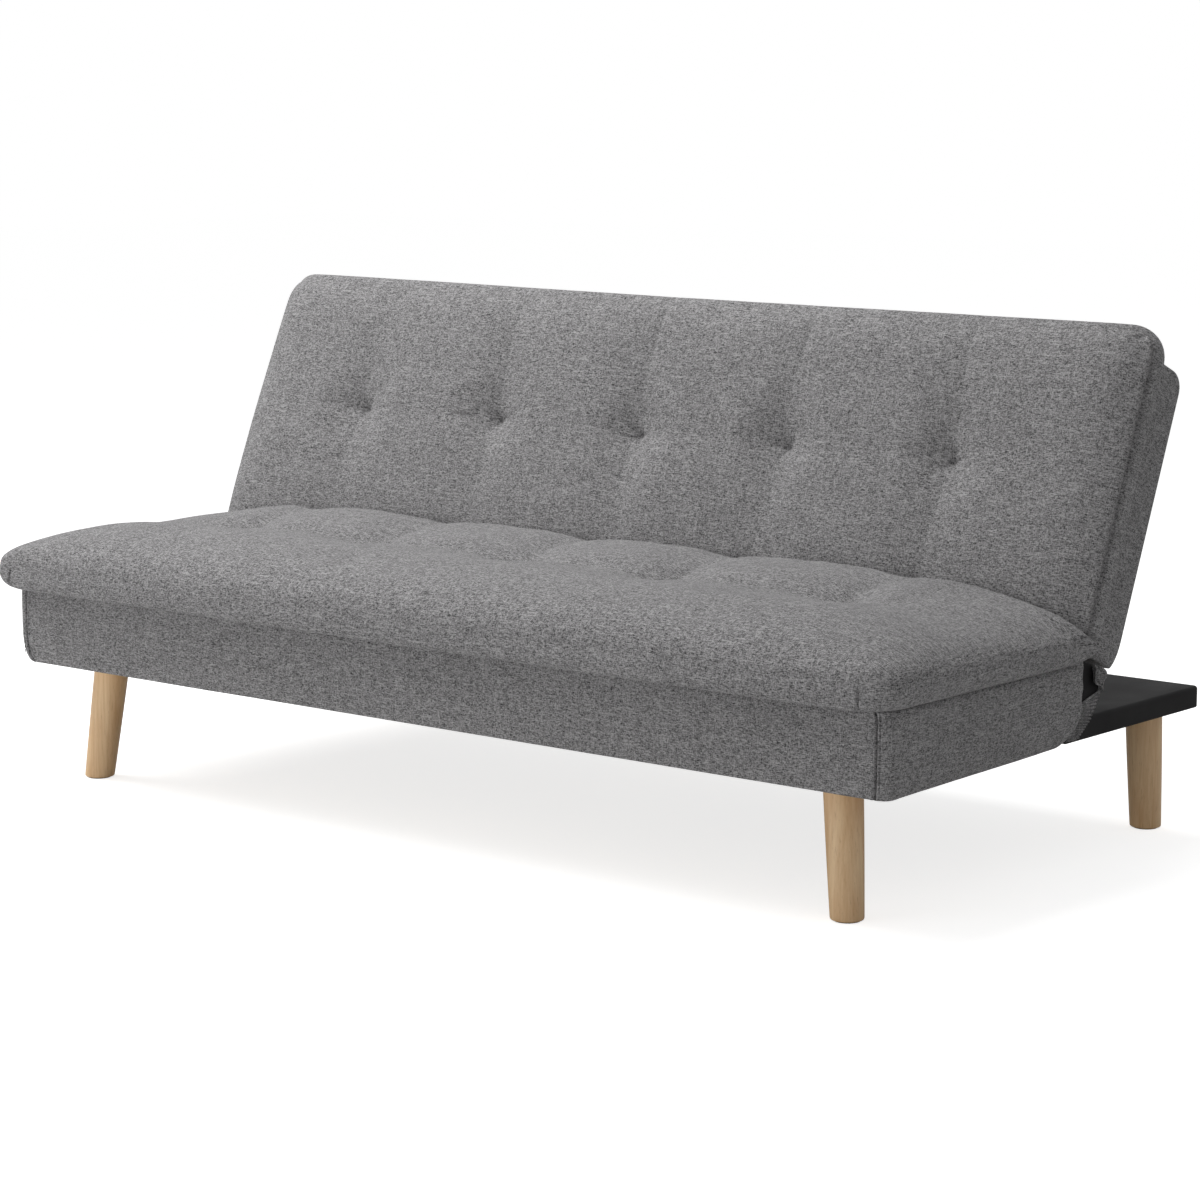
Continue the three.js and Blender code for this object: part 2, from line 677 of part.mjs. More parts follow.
// Side view of the back's padded shell, drawn rearward (Y) and up along the back (Z)
function backOutline(inset, footExtra) {
  const front = -(backFrameFront - inset);
  const rear = backFrameRear - inset;
  const top = backFrameTop - inset;
  const foot = -backFrameFoot + (footExtra ? -footExtra : inset);
  const radius = backTopRadius - inset;
  const shape = new THREE.Shape();
  shape.moveTo(front, foot);
  shape.lineTo(rear - backFootTuck, foot);
  if (footExtra) {
    shape.lineTo(rear - backFootTuck, -backFrameFoot);
  }
  shape.quadraticCurveTo(rear, -backFrameFoot + backFootRise / 3, rear, -backFrameFoot + backFootRise);
  shape.lineTo(rear, top - radius);
  shape.absarc(rear - radius, top - radius, radius, 0, Math.PI / 2);
  shape.lineTo(front, top);
  shape.closePath();
  return shape;
}

function addBackCover() {
  const r = backEdgeRadius;
  const turn = new THREE.Matrix4().makeBasis(
    new THREE.Vector3(0, 1, 0), new THREE.Vector3(0, 0, 1), new THREE.Vector3(1, 0, 0));
  const outer = new THREE.ExtrudeGeometry(backOutline(r, 0), {
    depth: 2 * (backHalf - r), bevelSize: r, bevelThickness: r, bevelSegments: 3, curveSegments: 5,
  }).applyMatrix4(turn).translate(r - backHalf, 0, 0);
  const wall = backClothThickness;
  const cavity = sidePlate(backOutline(wall, overrun), wall - backHalf, 2 * (backHalf - wall), 5);
  addPiece(backrest, 'back_cover', cutFrom(outer, cavity), cloth);
}

// Timber frame and slats inside the backrest
function addBackFrame() {
  const innerHalf = backHalf - backClothThickness - fit;
  const front = -(backFrameFront - backClothThickness - fit);
  const slatRear = front + slatThickness;
  const frame = [slatRear + fit, backFrameRear - backClothThickness - backFrameSetback];
  const top = backFrameTop - backClothThickness - fit;
  const stileX = hingePlateX + plateThickness + fit;
  const topRailFoot = top - backBoardThickness;
  const bottomRailTop = backBottomRailStart + backBoardThickness;
  addBoard(backrest, 'back_top_rail', timber, [-innerHalf, frame[0], topRailFoot],
    [innerHalf, frame[1] - backTopRadius / 2, top]);
  addBoard(backrest, 'back_bottom_rail', timber, [-hingePlateX + fit, frame[0], backBottomRailStart],
    [hingePlateX - fit, frame[1], bottomRailTop]);
  addBoard(backrest, 'back_stile_right', timber, [stileX, frame[0], backStileStart],
    [innerHalf, frame[1], topRailFoot - fit]);
  addBoard(backrest, 'back_stile_left', timber, [-innerHalf, frame[0], backStileStart],
    [-stileX, frame[1], topRailFoot - fit]);
  for (const [name, side] of [['right', 1], ['left', -1]]) {
    addBoard(backrest, `back_mid_stile_${name}`, timber,
      [side * backMidX - backBoardThickness / 2, frame[0], bottomRailTop + fit],
      [side * backMidX + backBoardThickness / 2, frame[1], topRailFoot - fit]);
  }
  for (let i = 0; i < backSlatCount; i += 1) {
    const foot = backSlatStart + i * backSlatPitch;
    addBoard(backrest, `back_slat_${i + 1}`, timber, [-innerHalf, front, foot],
      [innerHalf, slatRear, foot + slatWidth]);
  }
}

function addBackCushion() {
  const half = boxHalf + backCushionOverhang;
  const inset = backCushionInset;
  const ring = (grow, z) => ({
    half: half + grow, near: -backCushionFoot - grow, far: backCushionTop + grow,
    radius: backCushionCorner + grow, z,
  });
  const geometry = tuftedCushion({
    rings: [ring(0, backCushionBand), ring(boxEdgeRound, backCushionBelly), ring(-inset, 0)],
    tufts: tuftPlaces,
    tuftY: backCushionTop - backTuftDrop,
    crown: backCushionCrown,
    depth: backTuftDepth,
    valley: backValleyDepth,
    crease: backCreaseDepth,
    endWidth: edgeRoll,
    footWidth: footRoll,
  }).rotateX(Math.PI / 2);
  addPiece(backrest, 'back_cushion', geometry, cloth).position.y = -(backFrameFront + fit);
}

const polar = (radius, angle) => new THREE.Vector2(radius * Math.cos(deg(angle)), radius * Math.sin(deg(angle)));

// A round disc in the YZ plane between two places on X
function disc(centre, radius, x, thickness) {
  const shape = new THREE.Shape();
  shape.absarc(centre.x, centre.y, radius, 0, 2 * Math.PI);
  return sidePlate(shape, x, thickness, 12);
}

// Draws an arc in even steps; angles in degrees
function arc(path, centre, radius, from, to, steps) {
  for (let i = 0; i <= steps; i += 1) {
    const point = polar(radius, THREE.MathUtils.lerp(from, to, i / steps)).add(centre);
    path.lineTo(point.x, point.y);
  }
}

function hole(shape, centre, radius) {
  const path = new THREE.Path();
  const steps = 20;
  for (let i = 0; i < steps; i += 1) {
    const point = polar(radius, -i * 360 / steps).add(centre);
    if (i === 0) path.moveTo(point.x, point.y);
    else path.lineTo(point.x, point.y);
  }
  path.closePath();
  shape.holes.push(path);
}

// A regular polygon round the origin
function regular(sides, radius) {
  const corners = Array.from({ length: sides }, (_, i) => polar(radius, i * 360 / sides));
  return new THREE.Shape(corners);
}

const pinPlace = polar(pawlPinReach, pinAngle);

// Steel plate on the seat's side rail that carries the hinge axis and the pawl's pin
function addSeatBrackets() {
  const shape = new THREE.Shape();
  const hub = pawlHubRadius + boxEdgeRound;
  const boss = polar(bossRadius, -62);
  shape.moveTo(boss.x, boss.y);
  arc(shape, new THREE.Vector2(), bossRadius, -50, 125, 12);
  shape.lineTo(-armNeck + hub, -armTop);
  shape.lineTo(-armStart, -armTop);
  shape.lineTo(-armStart, -armTop - armHeight);
  shape.lineTo(-armNeck, -armTop - armHeight);
  arc(shape, pinPlace, hub, 225, 330, 6);
  shape.closePath();
  hole(shape, new THREE.Vector2(), pivotBoltRadius + boltFit);
  hole(shape, pinPlace, pawlPinRadius + boltFit);
  const plate = sidePlate(shape, seatPlateX, plateThickness);
  const screwX = seatPlateX - screwHeadHeight;
  const margin = armHeight / 4;
  const heads = [[-armStart + margin, -armTop - margin], [-armStart + margin, -armTop - armHeight + margin],
    [-armNeck - margin, -armTop - armHeight / 2]];
  const screws = heads.map(([y, z]) => disc(new THREE.Vector2(y, z), screwHeadRadius, screwX,
    screwHeadHeight + plateThickness / 2));
  addPair(sofa, 'seat_bracket', joined(plate, ...screws).translate(0, hingeY, hingeZ), steel);
}

// Steel strap on the back's stile that ends in a ratchet with three notches
function addBackBrackets() {
  const nose = noseAngle + backLean;
  const notches = [
    [nose - releaseAngle - notchHalfAngle, nose + notchHalfAngle],
    [nose + foldAngle / 2 - notchHalfAngle, nose + foldAngle / 2 + notchHalfAngle],
    [nose + foldAngle - notchHalfAngle, nose + foldAngle + notchHalfAngle],
  ];
  const first = notches[0][0] - ratchetMargin;
  const last = notches[2][1] + ratchetMargin;
  const neck = Math.sqrt(ratchetHubRadius ** 2 - strapHalfWidth ** 2);
  const neckAngle = THREE.MathUtils.radToDeg(Math.atan2(neck, strapHalfWidth));
  const axis = new THREE.Vector2();
  const shape = new THREE.Shape();
  shape.moveTo(strapHalfWidth, strapLength);
  shape.lineTo(-strapHalfWidth, strapLength);
  arc(shape, axis, ratchetHubRadius, 180 - neckAngle, first + 360, 3);
  let angle = first;
  for (const [from, to] of notches) {
    arc(shape, axis, ratchetRadius, angle, from, 4);
    arc(shape, axis, ratchetRadius - notchDepth, from, to, 3);
    angle = to;
  }
  arc(shape, axis, ratchetRadius, angle, last, 3);
  arc(shape, axis, ratchetHubRadius, last, -neckAngle, 2);
  shape.closePath();
  hole(shape, axis, pivotBoltRadius + boltFit);
  const plate = sidePlate(shape, hingePlateX, plateThickness);
  const screwX = hingePlateX - screwHeadHeight;
  const screws = [0, 1].map((i) => disc(new THREE.Vector2(0, strapScrewStart + i * strapScrewPitch),
    screwHeadRadius, screwX, screwHeadHeight + plateThickness / 2));
  addPair(backrest, 'back_bracket', joined(plate, ...screws), steel);
}

// Pawl that drops into the ratchet's notches, drawn lifted clear of them
function addPawls() {
  const shape = new THREE.Shape();
  const tip = noseAngle - noseHalfAngle;
  const axis = new THREE.Vector2();
  const start = polar(pawlArmOuter, pinAngle);
  shape.moveTo(start.x, start.y);
  arc(shape, axis, pawlArmInner, pinAngle, noseAngle + noseHalfAngle, 6);
  arc(shape, axis, ratchetRadius + pawlLift, noseAngle + noseHalfAngle, tip, 4);
  arc(shape, axis, pawlArmOuter, tip, pinAngle - noseHalfAngle, 8);
  shape.closePath();
  const arm = sidePlate(shape, hingePlateX, plateThickness);
  const hub = disc(pinPlace, pawlHubRadius, hingePlateX, plateThickness);
  const bore = disc(pinPlace, pawlPinRadius + boltFit, hingePlateX - overrun, plateThickness + 2 * overrun);
  const pawl = cutFrom(joined(arm, hub), bore);
  addPair(sofa, 'pawl', pawl.translate(0, hingeY, hingeZ), steel);
}

// Bolt and nut on the hinge axis, and the pawl's headed pin with its spring
function addHingePins() {
  const outerFace = hingePlateX + plateThickness;
  const headX = seatPlateX - fit / 3;
  const bolt = turned([
    [0, headX - pivotHeadThickness], [pivotHeadRadius, headX - pivotHeadThickness], [pivotHeadRadius, headX],
    [pivotBoltRadius, headX], [pivotBoltRadius, outerFace + pivotEnd], [0, outerFace + pivotEnd],
  ]).translate(0, hingeY, hingeZ);
  addPair(sofa, 'pivot_bolt', bolt, zinc);

  const hex = regular(6, pivotHeadRadius);
  hole(hex, new THREE.Vector2(), pivotBoltRadius + boltFit);
  const nut = sidePlate(hex, outerFace + fit, nutThickness).translate(0, hingeY, hingeZ);
  addPair(sofa, 'pivot_nut', nut, zinc);

  const springX = outerFace + 2 * fit;
  const coilLength = springTurns * 3 * springWireRadius;
  const pinEnd = springX + coilLength + 3 * springWireRadius;
  const pin = turned([
    [0, headX - pinHeadThickness], [pinHeadRadius, headX - pinHeadThickness], [pinHeadRadius, headX],
    [pawlPinRadius, headX], [pawlPinRadius, pinEnd], [pinHeadRadius, pinEnd],
    [pinHeadRadius, pinEnd + pinHeadThickness], [0, pinEnd + pinHeadThickness],
  ]).translate(0, hingeY + pinPlace.x, hingeZ + pinPlace.y);
  addPair(sofa, 'pawl_pin', pin, zinc);

  class CoilWithTails extends THREE.Curve {
    getPoint(t, target = new THREE.Vector3()) {
      const turns = springTurns * 2 * Math.PI;
      const arc = turns * springCoilRadius;
      const along = t * (arc + 2 * springTail);
      const angle = THREE.MathUtils.clamp((along - springTail) / springCoilRadius, 0, turns);
      const past = along - springTail - angle * springCoilRadius;
      const start = deg(pinAngle);
      const x = springX + springWireRadius + coilLength * angle / turns;
      const y = springCoilRadius * Math.cos(start + angle) - past * Math.sin(start + angle);
      const z = springCoilRadius * Math.sin(start + angle) + past * Math.cos(start + angle);
      return target.set(x, y, z);
    }
  }
  const spring = new THREE.ExtrudeGeometry(regular(5, springWireRadius),
    { steps: 40, extrudePath: new CoilWithTails() }).translate(0, hingeY + pinPlace.x, hingeZ + pinPlace.y);
  addPair(sofa, 'pawl_spring', spring, zinc);
}

addBase();
addLeg('front_left', { x: -frontLegTop.x, y: frontLegTop.y }, { x: -frontLegSplay.x, y: frontLegSplay.y },
  baseRailFoot);
addLeg('front_right', frontLegTop, frontLegSplay, baseRailFoot);
addLeg('rear_left', { x: -rearLegTop.x, y: rearLegTop.y }, { x: -rearLegSplay.x, y: rearLegSplay.y }, legHeight);
addLeg('rear_right', rearLegTop, rearLegSplay, legHeight);
addBoxCover();
addSeatFrame();
addSeatCushion();
addHems();
addBackCover();
addBackFrame();
addBackCushion();
addSeatBrackets();
addBackBrackets();
addPawls();
addHingePins();

const group = new THREE.Group();
group.add(sofa);
sofa.position.y = -(baseDepth - seatCushionFront) / 2;

export default group;
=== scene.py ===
"""The click clack sofa bed, dressed.

Linen cushions, upholstered box and back, gathered hems, wooden legs and black platform cloth.
"""

import math

import bpy
import numpy as np
from mathutils import Matrix, Vector


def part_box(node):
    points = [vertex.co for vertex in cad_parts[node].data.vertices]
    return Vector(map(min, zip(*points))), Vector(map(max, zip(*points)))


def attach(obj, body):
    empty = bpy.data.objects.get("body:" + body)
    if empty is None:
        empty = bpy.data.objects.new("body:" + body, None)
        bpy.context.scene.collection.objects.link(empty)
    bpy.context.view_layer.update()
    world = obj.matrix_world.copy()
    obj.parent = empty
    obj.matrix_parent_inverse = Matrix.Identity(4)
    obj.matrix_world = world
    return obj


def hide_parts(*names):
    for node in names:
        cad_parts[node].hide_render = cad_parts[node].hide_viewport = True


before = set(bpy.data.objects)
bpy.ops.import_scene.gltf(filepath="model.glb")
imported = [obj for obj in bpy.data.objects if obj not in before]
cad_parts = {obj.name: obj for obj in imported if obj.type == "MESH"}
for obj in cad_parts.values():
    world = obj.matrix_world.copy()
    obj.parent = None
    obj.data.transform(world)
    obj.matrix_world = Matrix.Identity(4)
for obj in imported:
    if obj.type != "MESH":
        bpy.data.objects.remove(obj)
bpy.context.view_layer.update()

MM = 0.001

# ---------------------------------------------------------------------------------------------
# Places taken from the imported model, in metres
# ---------------------------------------------------------------------------------------------

seat_low, seat_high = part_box("seat_cushion")
box_low, box_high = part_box("seat_box_cover")
base_low, base_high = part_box("base_cover")
bolt_low, bolt_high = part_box("pivot_bolt_right")

BACK_LEAN = math.radians(22.85)
BOX_FRONT = box_low.y
HINGE = Vector((0, (bolt_low.y + bolt_high.y) / 2, (bolt_low.z + bolt_high.z) / 2))
BACK_FRAME = Matrix.Translation(HINGE) @ Matrix.Rotation(-BACK_LEAN, 4, "X")
BACK_TO_LOCAL = BACK_FRAME.inverted()


def local_box(node):
    """The corners of one of the backrest's nodes, in the backrest's own frame: upright on the hinge axis."""
    points = np.array([v.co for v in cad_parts[node].data.vertices])
    turned = points @ np.array(BACK_TO_LOCAL.to_3x3()).T + np.array(BACK_TO_LOCAL.translation)
    return turned.min(0), turned.max(0)


# ---------------------------------------------------------------------------------------------
# Materials
# ---------------------------------------------------------------------------------------------


class Field:
    """A value that changes over a surface: a shader socket with arithmetic."""

    def __init__(self, finish, socket):
        self.finish, self.socket = finish, socket

    def _with(self, operation, first, second):
        return self.finish.node("ShaderNodeMath", {"operation": operation}, {0: first, 1: second})

    def __add__(self, other):
        return self._with("ADD", self, other)

    def __radd__(self, other):
        return self._with("ADD", other, self)

    def __sub__(self, other):
        return self._with("SUBTRACT", self, other)

    def __rsub__(self, other):
        return self._with("SUBTRACT", other, self)

    def __mul__(self, other):
        return self._with("MULTIPLY", self, other)

    def __rmul__(self, other):
        return self._with("MULTIPLY", other, self)


class Finish:
    """A material under construction. node() adds any node to it."""

    def __init__(self, name):
        self.material = bpy.data.materials.new(name)
        self.material.use_nodes = True
        self.tree = self.material.node_tree
        self.tree.nodes.clear()

    def node(self, kind, settings=None, inputs=None, output=0):
        made = self.tree.nodes.new(kind)
        for key, value in (settings or {}).items():
            setattr(made, key, value)
        for key, value in (inputs or {}).items():
            if isinstance(value, Field):
                self.tree.links.new(value.socket, made.inputs[key])
            else:
                made.inputs[key].default_value = value
        return Field(self, made.outputs[output])

    def noise(self, place, scale, detail=2.0, roughness=0.5, dimensions="3D"):
        return self.node("ShaderNodeTexNoise", {"noise_dimensions": dimensions},
                         {"Vector": place, "Scale": scale, "Detail": detail, "Roughness": roughness})

    def stretched(self, place, scale, shift=(0, 0, 0)):
        return self.node("ShaderNodeMapping", None, {"Vector": place, "Scale": scale, "Location": shift})

    def whole(self, value):
        return self.node("ShaderNodeMath", {"operation": "FLOOR"}, {0: value})

    def ridge(self, place):
        """1 along the middle of each whole step of place, falling to 0 between two steps."""
        wave = self.node("ShaderNodeMath", {"operation": "SINE"}, {0: place * (2 * math.pi) - math.pi / 2})
        return 0.5 + 0.5 * wave

    def between(self, value, low, high, to_low=0.0, to_high=1.0):
        return self.node("ShaderNodeMapRange", {"clamp": True}, {
            "Value": value, "From Min": low, "From Max": high, "To Min": to_low, "To Max": to_high})

    def blend(self, factor, first, second, kind="MIX"):
        colour = [tuple((*c, 1)) if not isinstance(c, Field) else c for c in (first, second)]
        return self.node("ShaderNodeMix", {"data_type": "RGBA", "blend_type": kind},
                         {0: factor, 6: colour[0], 7: colour[1]}, output=2)

    def place(self):
        """The place on the piece, in metres along its own axes."""
        return self.node("ShaderNodeTexCoord", output=3)

    def bump(self, height, distance, strength=1.0):
        return self.node("ShaderNodeBump", None, {
            "Height": height, "Distance": distance, "Strength": strength})

    def surface(self, inputs):
        shader = self.node("ShaderNodeBsdfPrincipled", None, inputs)
        return self.emit(shader)

    def emit(self, shader):
        end = self.tree.nodes.new("ShaderNodeOutputMaterial")
        self.tree.links.new(shader.socket, end.inputs["Surface"])
        return self.material


# The linen's yarns, in millimetres: their spacing, and how long they keep a shade along them
WEFT = 1.0
WARP = 1.05
WEFT_SHADE, WARP_SHADE = 6, 3.6
WEFT_SLUB, WARP_SLUB = 34, 24
WEFT_DARK, WARP_DARK = 13, 11
LINEN_LIGHT = (0.50, 0.491, 0.495)
LINEN_DEEP = (0.030, 0.029, 0.0305)


def linen(name, tone=1.0):
    """Grey melange linen on the cloth map in metres.

    A plain weave of yarns that each go light and dark along their length, with slubs, and painted shade in the
    grooves between the yarns.
    """
    m = Finish(name)
    cloth = m.node("ShaderNodeUVMap", {"uv_map": "cloth"})
    across, up = (m.node("ShaderNodeSeparateXYZ", None, {0: cloth}, output=axis) for axis in (0, 1))
    row_place, column_place = up * (1 / (WEFT * MM)), across * (1 / (WARP * MM))
    row, column = m.whole(row_place), m.whole(column_place)

    def yarn(along, length, line, seed, detail=1.0):
        """Shade along each yarn, with no likeness to the yarn beside it."""
        place = m.node("ShaderNodeCombineXYZ", None, {
            0: along * (1 / (length * MM)) + seed, 1: line * 7.31 + seed})
        return m.noise(place, 1.0, detail, 0.6, "2D")

    weft = yarn(across, WEFT_SHADE, row, 3.3, 2.0)
    warp = yarn(up, WARP_SHADE, column, 41.7, 2.0)
    slub = m.between(yarn(across, WEFT_SLUB, row, 91.1), 0.61, 0.69)
    warp_slub = m.between(yarn(up, WARP_SLUB, column, 131.9), 0.62, 0.70)
    dark = m.between(yarn(across, WEFT_DARK, row, 177.3), 0.60, 0.70)
    warp_dark = m.between(yarn(up, WARP_DARK, column, 211.3), 0.60, 0.70)
    over = m.node("ShaderNodeMath", {"operation": "FLOORED_MODULO"}, {0: row + column, 1: 2.0})
    height = over * m.ridge(row_place) + (1 - over) * m.ridge(column_place)
    cloudy = m.noise(m.stretched(cloth, (1, 1.6, 1)), 7.0, 3.0, 0.55, "2D")
    share = 0.40 + 0.30 * over
    pick = warp + share * (weft - warp)
    spots = 0.26 * slub + 0.18 * warp_slub - 0.15 * dark - 0.10 * warp_dark
    melange_and_groove_shade = 0.475 + (2.7 * (pick - 0.5) + spots)
    # Painted shade: 0.2 * height darkens the colour in the grooves between the yarns. The cloudy term is the cloth's
    # own mottling.
    melange_and_groove_shade = melange_and_groove_shade + 0.07 * (cloudy - 0.5) + 0.2 * (height - 0.5)
    shade = m.between(melange_and_groove_shade, 0, 1)
    return m.surface({
        "Base Color": m.blend(shade, tuple(tone * c for c in LINEN_DEEP), tuple(tone * c for c in LINEN_LIGHT)),
        "Roughness": m.between(shade, 0, 1, 0.96, 0.84),
        "Normal": m.bump(height + 0.5 * pick, 0.0007, 0.35),
        "Sheen Weight": 0.10,
        "Sheen Roughness": 0.45,
        "Specular IOR Level": 0.25,
    })


def platform_cloth():
    """Black non-woven cloth, pulled tight, with a faint sheen and fine pits."""
    m = Finish("platform_cloth")
    place = m.place()
    pits = m.noise(place, 900, 2, 0.6)
    drift = m.noise(place, 7, 3, 0.5)
    fuzz = m.noise(m.stretched(place, (1, 3, 1)), 220, 3, 0.6)
    tone = m.between(0.5 * pits + 0.25 * drift + 0.25 * fuzz, 0.3, 0.7)
    return m.surface({
        "Base Color": m.blend(tone, (0.0035, 0.0032, 0.0036), (0.0085, 0.0078, 0.0084)),
        "Roughness": m.between(drift, 0.3, 0.7, 0.72, 0.9),
        "Normal": m.bump(pits, 0.0006, 0.4),
        "Sheen Weight": 0.015,
        "Sheen Roughness": 0.5,
        "Specular IOR Level": 0.22,
    })


def leg_wood():
    """Pale rubberwood with a satin lacquer: long grain lines, short pores and slow colour drift."""
    m = Finish("leg_wood")
    place = m.place()
    grain = m.noise(m.stretched(place, (1, 1, 0.045)), 210, 3, 0.65)
    wide = m.noise(m.stretched(place, (1, 1, 0.10)), 60, 2, 0.5)
    drift = m.noise(m.stretched(place, (1, 1, 0.3)), 22, 2, 0.5)
    pores = m.between(m.noise(m.stretched(place, (1, 1, 0.07)), 620, 2, 0.6), 0.60, 0.72)
    tone = m.between(0.42 * grain + 0.33 * wide + 0.25 * drift, 0.34, 0.66)
    colour = m.blend(tone, (0.70, 0.43, 0.215), (0.93, 0.68, 0.41))
    colour = m.blend(pores * 0.36, colour, (0.42, 0.22, 0.10))
    return m.surface({
        "Base Color": colour,
        "Roughness": m.between(grain, 0.3, 0.7, 0.42, 0.56),
        "Normal": m.bump(0.7 * grain + 0.3 * pores, 0.0006, 0.12),
        "Coat Weight": 0.12,
        "Coat Roughness": 0.3,
    })


def sawn_timber():
    """Planed softwood of the hidden frame."""
    m = Finish("sawn_timber")
    place = m.place()
    rings = m.noise(m.stretched(place, (0.05, 1, 1)), 90, 3, 0.6)
    fibre = m.noise(m.stretched(place, (0.02, 1, 1)), 500, 2, 0.6)
    tone = m.between(0.6 * rings + 0.4 * fibre, 0.35, 0.65)
    return m.surface({
        "Base Color": m.blend(tone, (0.46, 0.32, 0.17), (0.68, 0.53, 0.33)),
        "Roughness": m.between(fibre, 0.3, 0.7, 0.7, 0.85),
        "Normal": m.bump(fibre, 0.0006, 0.3),
    })


def enamelled_steel():
    """Black stove enamel on pressed steel, rubbed a little bare."""
    m = Finish("enamelled_steel")
    place = m.place()
    peel = m.noise(place, 700, 2, 0.5)
    rub = m.between(m.noise(place, 60, 4, 0.6), 0.58, 0.72)
    return m.surface({
        "Base Color": m.blend(rub, (0.020, 0.021, 0.024), (0.075, 0.075, 0.080)),
        "Roughness": m.between(peel, 0.3, 0.7, 0.34, 0.5),
        "Metallic": 0.4,
        "Normal": m.bump(peel, 0.0003, 0.2),
    })


def zinc_plate():
    """Zinc-plated bolts, pins and springs."""
    m = Finish("zinc_plate")
    place = m.place()
    bloom = m.noise(place, 240, 3, 0.6)
    brushed = m.noise(m.stretched(place, (1, 12, 12)), 160, 2, 0.6)
    return m.surface({
        "Base Color": m.blend(m.between(bloom, 0.3, 0.7), (0.40, 0.41, 0.43), (0.60, 0.61, 0.62)),
        "Roughness": m.between(brushed, 0.3, 0.7, 0.26, 0.42),
        "Metallic": 1.0,
        "Normal": m.bump(brushed, 0.0002, 0.15),
    })


def nylon():
    """Moulded black nylon of the glides."""
    m = Finish("nylon")
    place = m.place()
    mottle = m.noise(place, 800, 2, 0.6)
    return m.surface({
        "Base Color": m.blend(m.between(mottle, 0.3, 0.7), (0.010, 0.010, 0.011), (0.018, 0.018, 0.019)),
        "Roughness": m.between(mottle, 0.3, 0.7, 0.5, 0.65),
        "Normal": m.bump(mottle, 0.0002, 0.3),
    })


def thread(name, light, deep):
    """Twisted sewing thread."""
    m = Finish(name)
    twist = m.noise(m.place(), 1500, 1, 0.5)
    return m.surface({
        "Base Color": m.blend(m.between(twist, 0.35, 0.65), deep, light),
        "Roughness": 0.8,
        "Normal": m.bump(twist, 0.0002, 0.4),
    })


cushion_linen = linen("cushion_linen")
box_linen = linen("box_linen", 0.97)
hem_linen = linen("hem_linen", 0.85)
black_cloth = platform_cloth()
wood = leg_wood()
seam_thread = thread("seam_thread", (0.17, 0.168, 0.17), (0.05, 0.049, 0.05))

FINISHES = {"timber": sawn_timber(), "steel": enamelled_steel(), "zinc": zinc_plate(),
            "glide": nylon(), "leg_wood": wood, "black_cloth": black_cloth}
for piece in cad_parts.values():
    for slot in piece.material_slots:
        if slot.material and slot.material.name.split(".")[0] in FINISHES:
            slot.material = FINISHES[slot.material.name.split(".")[0]]

# ---------------------------------------------------------------------------------------------
# Meshes
# ---------------------------------------------------------------------------------------------


def add_mesh(name, points, faces, material, to_frame=None):
    """A smooth mesh with a cloth map in metres, from the piece's own axes. to_frame places it in the sofa."""
    points = np.asarray(points, float)
    mesh = bpy.data.meshes.new(name)
    mesh.from_pydata(points.tolist(), [], faces)
    mesh.validate()
    mesh.shade_smooth()
    cloth_map(mesh)
    if to_frame is not None:
        mesh.transform(to_frame)
    mesh.materials.append(material)
    piece = bpy.data.objects.new(name, mesh)
    bpy.context.scene.collection.objects.link(piece)
    return piece


def values_of(items, name, width=3, kind=float):
    """What each item of a mesh holds under a name, as an array."""
    found = np.zeros(len(items) * width, kind)
    items.foreach_get(name, found)
    return found.reshape(-1, width) if width > 1 else found


def cloth_map(mesh):
    """Lays the cloth flat on each face, along the axis that it faces. Yarns run level on the sides."""
    normals = np.abs(values_of(mesh.polygons, "normal"))
    totals = values_of(mesh.polygons, "loop_total", 1, np.int64)
    facing = np.repeat(np.argmax(normals * [1.15, 1, 1], axis=1), totals)
    place = values_of(mesh.vertices, "co")[values_of(mesh.loops, "vertex_index", 1, np.int64)]
    across = np.where(facing == 0, place[:, 1], place[:, 0])
    along = np.where(facing == 2, place[:, 1], place[:, 2])
    uv = np.stack([across + facing * 0.37, along + facing * 0.91], 1)
    layer = mesh.uv_layers.new(name="cloth")
    layer.uv.foreach_set("vector", uv.astype(np.float32).ravel())


def ease(t):
    t = np.clip(t, 0, 1)
    return t * t * (3 - 2 * t)


def swell(t):
    """A quarter round: steep at 0 and level from 1 on."""
    return np.sqrt(np.clip(1 - (1 - np.minimum(1, np.maximum(t, 0))) ** 2, 0, 1))


def pulled(distance, radius, softness):
    """The dent of a pulled thread or crease: pointed, but rounded over its softness."""
    return np.exp(-(np.sqrt(distance ** 2 + softness ** 2) - softness) / radius)


def places(stops, steps, gather=0.55):
    """Places between stops, closer together near each stop."""
    found = [stops[0]]
    for (low, high), count in zip(zip(stops, stops[1:]), steps):
        t = np.arange(1, count + 1) / count
        t = (1 - gather) * t + gather * (1 - np.cos(np.pi * t)) / 2
        found.extend(low + (high - low) * t)
    return np.array(found)


def drift(x, y, scale, seed):
    """Soft, slow unevenness from a few sine waves, between about -1 and 1."""
    waves = np.random.default_rng(seed)
    total = np.zeros(np.broadcast(x, y).shape)
    size = 0.0
    for octave in range(3):
        for _ in range(4):
            angle = waves.uniform(0, 2 * np.pi)
            rate = 2 * np.pi / scale * 1.9 ** octave * waves.uniform(0.7, 1.3)
            gain = 0.55 ** octave
            along = x * np.cos(angle) + y * np.sin(angle)
            total = total + gain * np.sin(rate * along + waves.uniform(0, 6.28))
            size += gain
    return 2 * total / size


def on_footprint(u, v, half, near, far, radii):
    """A point of the unit square on a rectangle with round corners, in millimetres.

    radii are those of the near and the far corners.
    """
    depth = (far - near) / 2
    radius = np.where(v < 0, *radii)
    x, y = np.abs(u) * half, np.abs(v) * depth
    dx, dy = x - (half - radius), y - (depth - radius)
    inside = (dx > 0) & (dy > 0)
    pull = np.where(inside, np.maximum(dx, dy) / np.maximum(np.hypot(dx, dy), 1e-9), 1)
    x = np.where(inside, half - radius + dx * pull, x)
    y = np.where(inside, depth - radius + dy * pull, y)
    return np.sign(u) * x, (near + far) / 2 + np.sign(v) * y


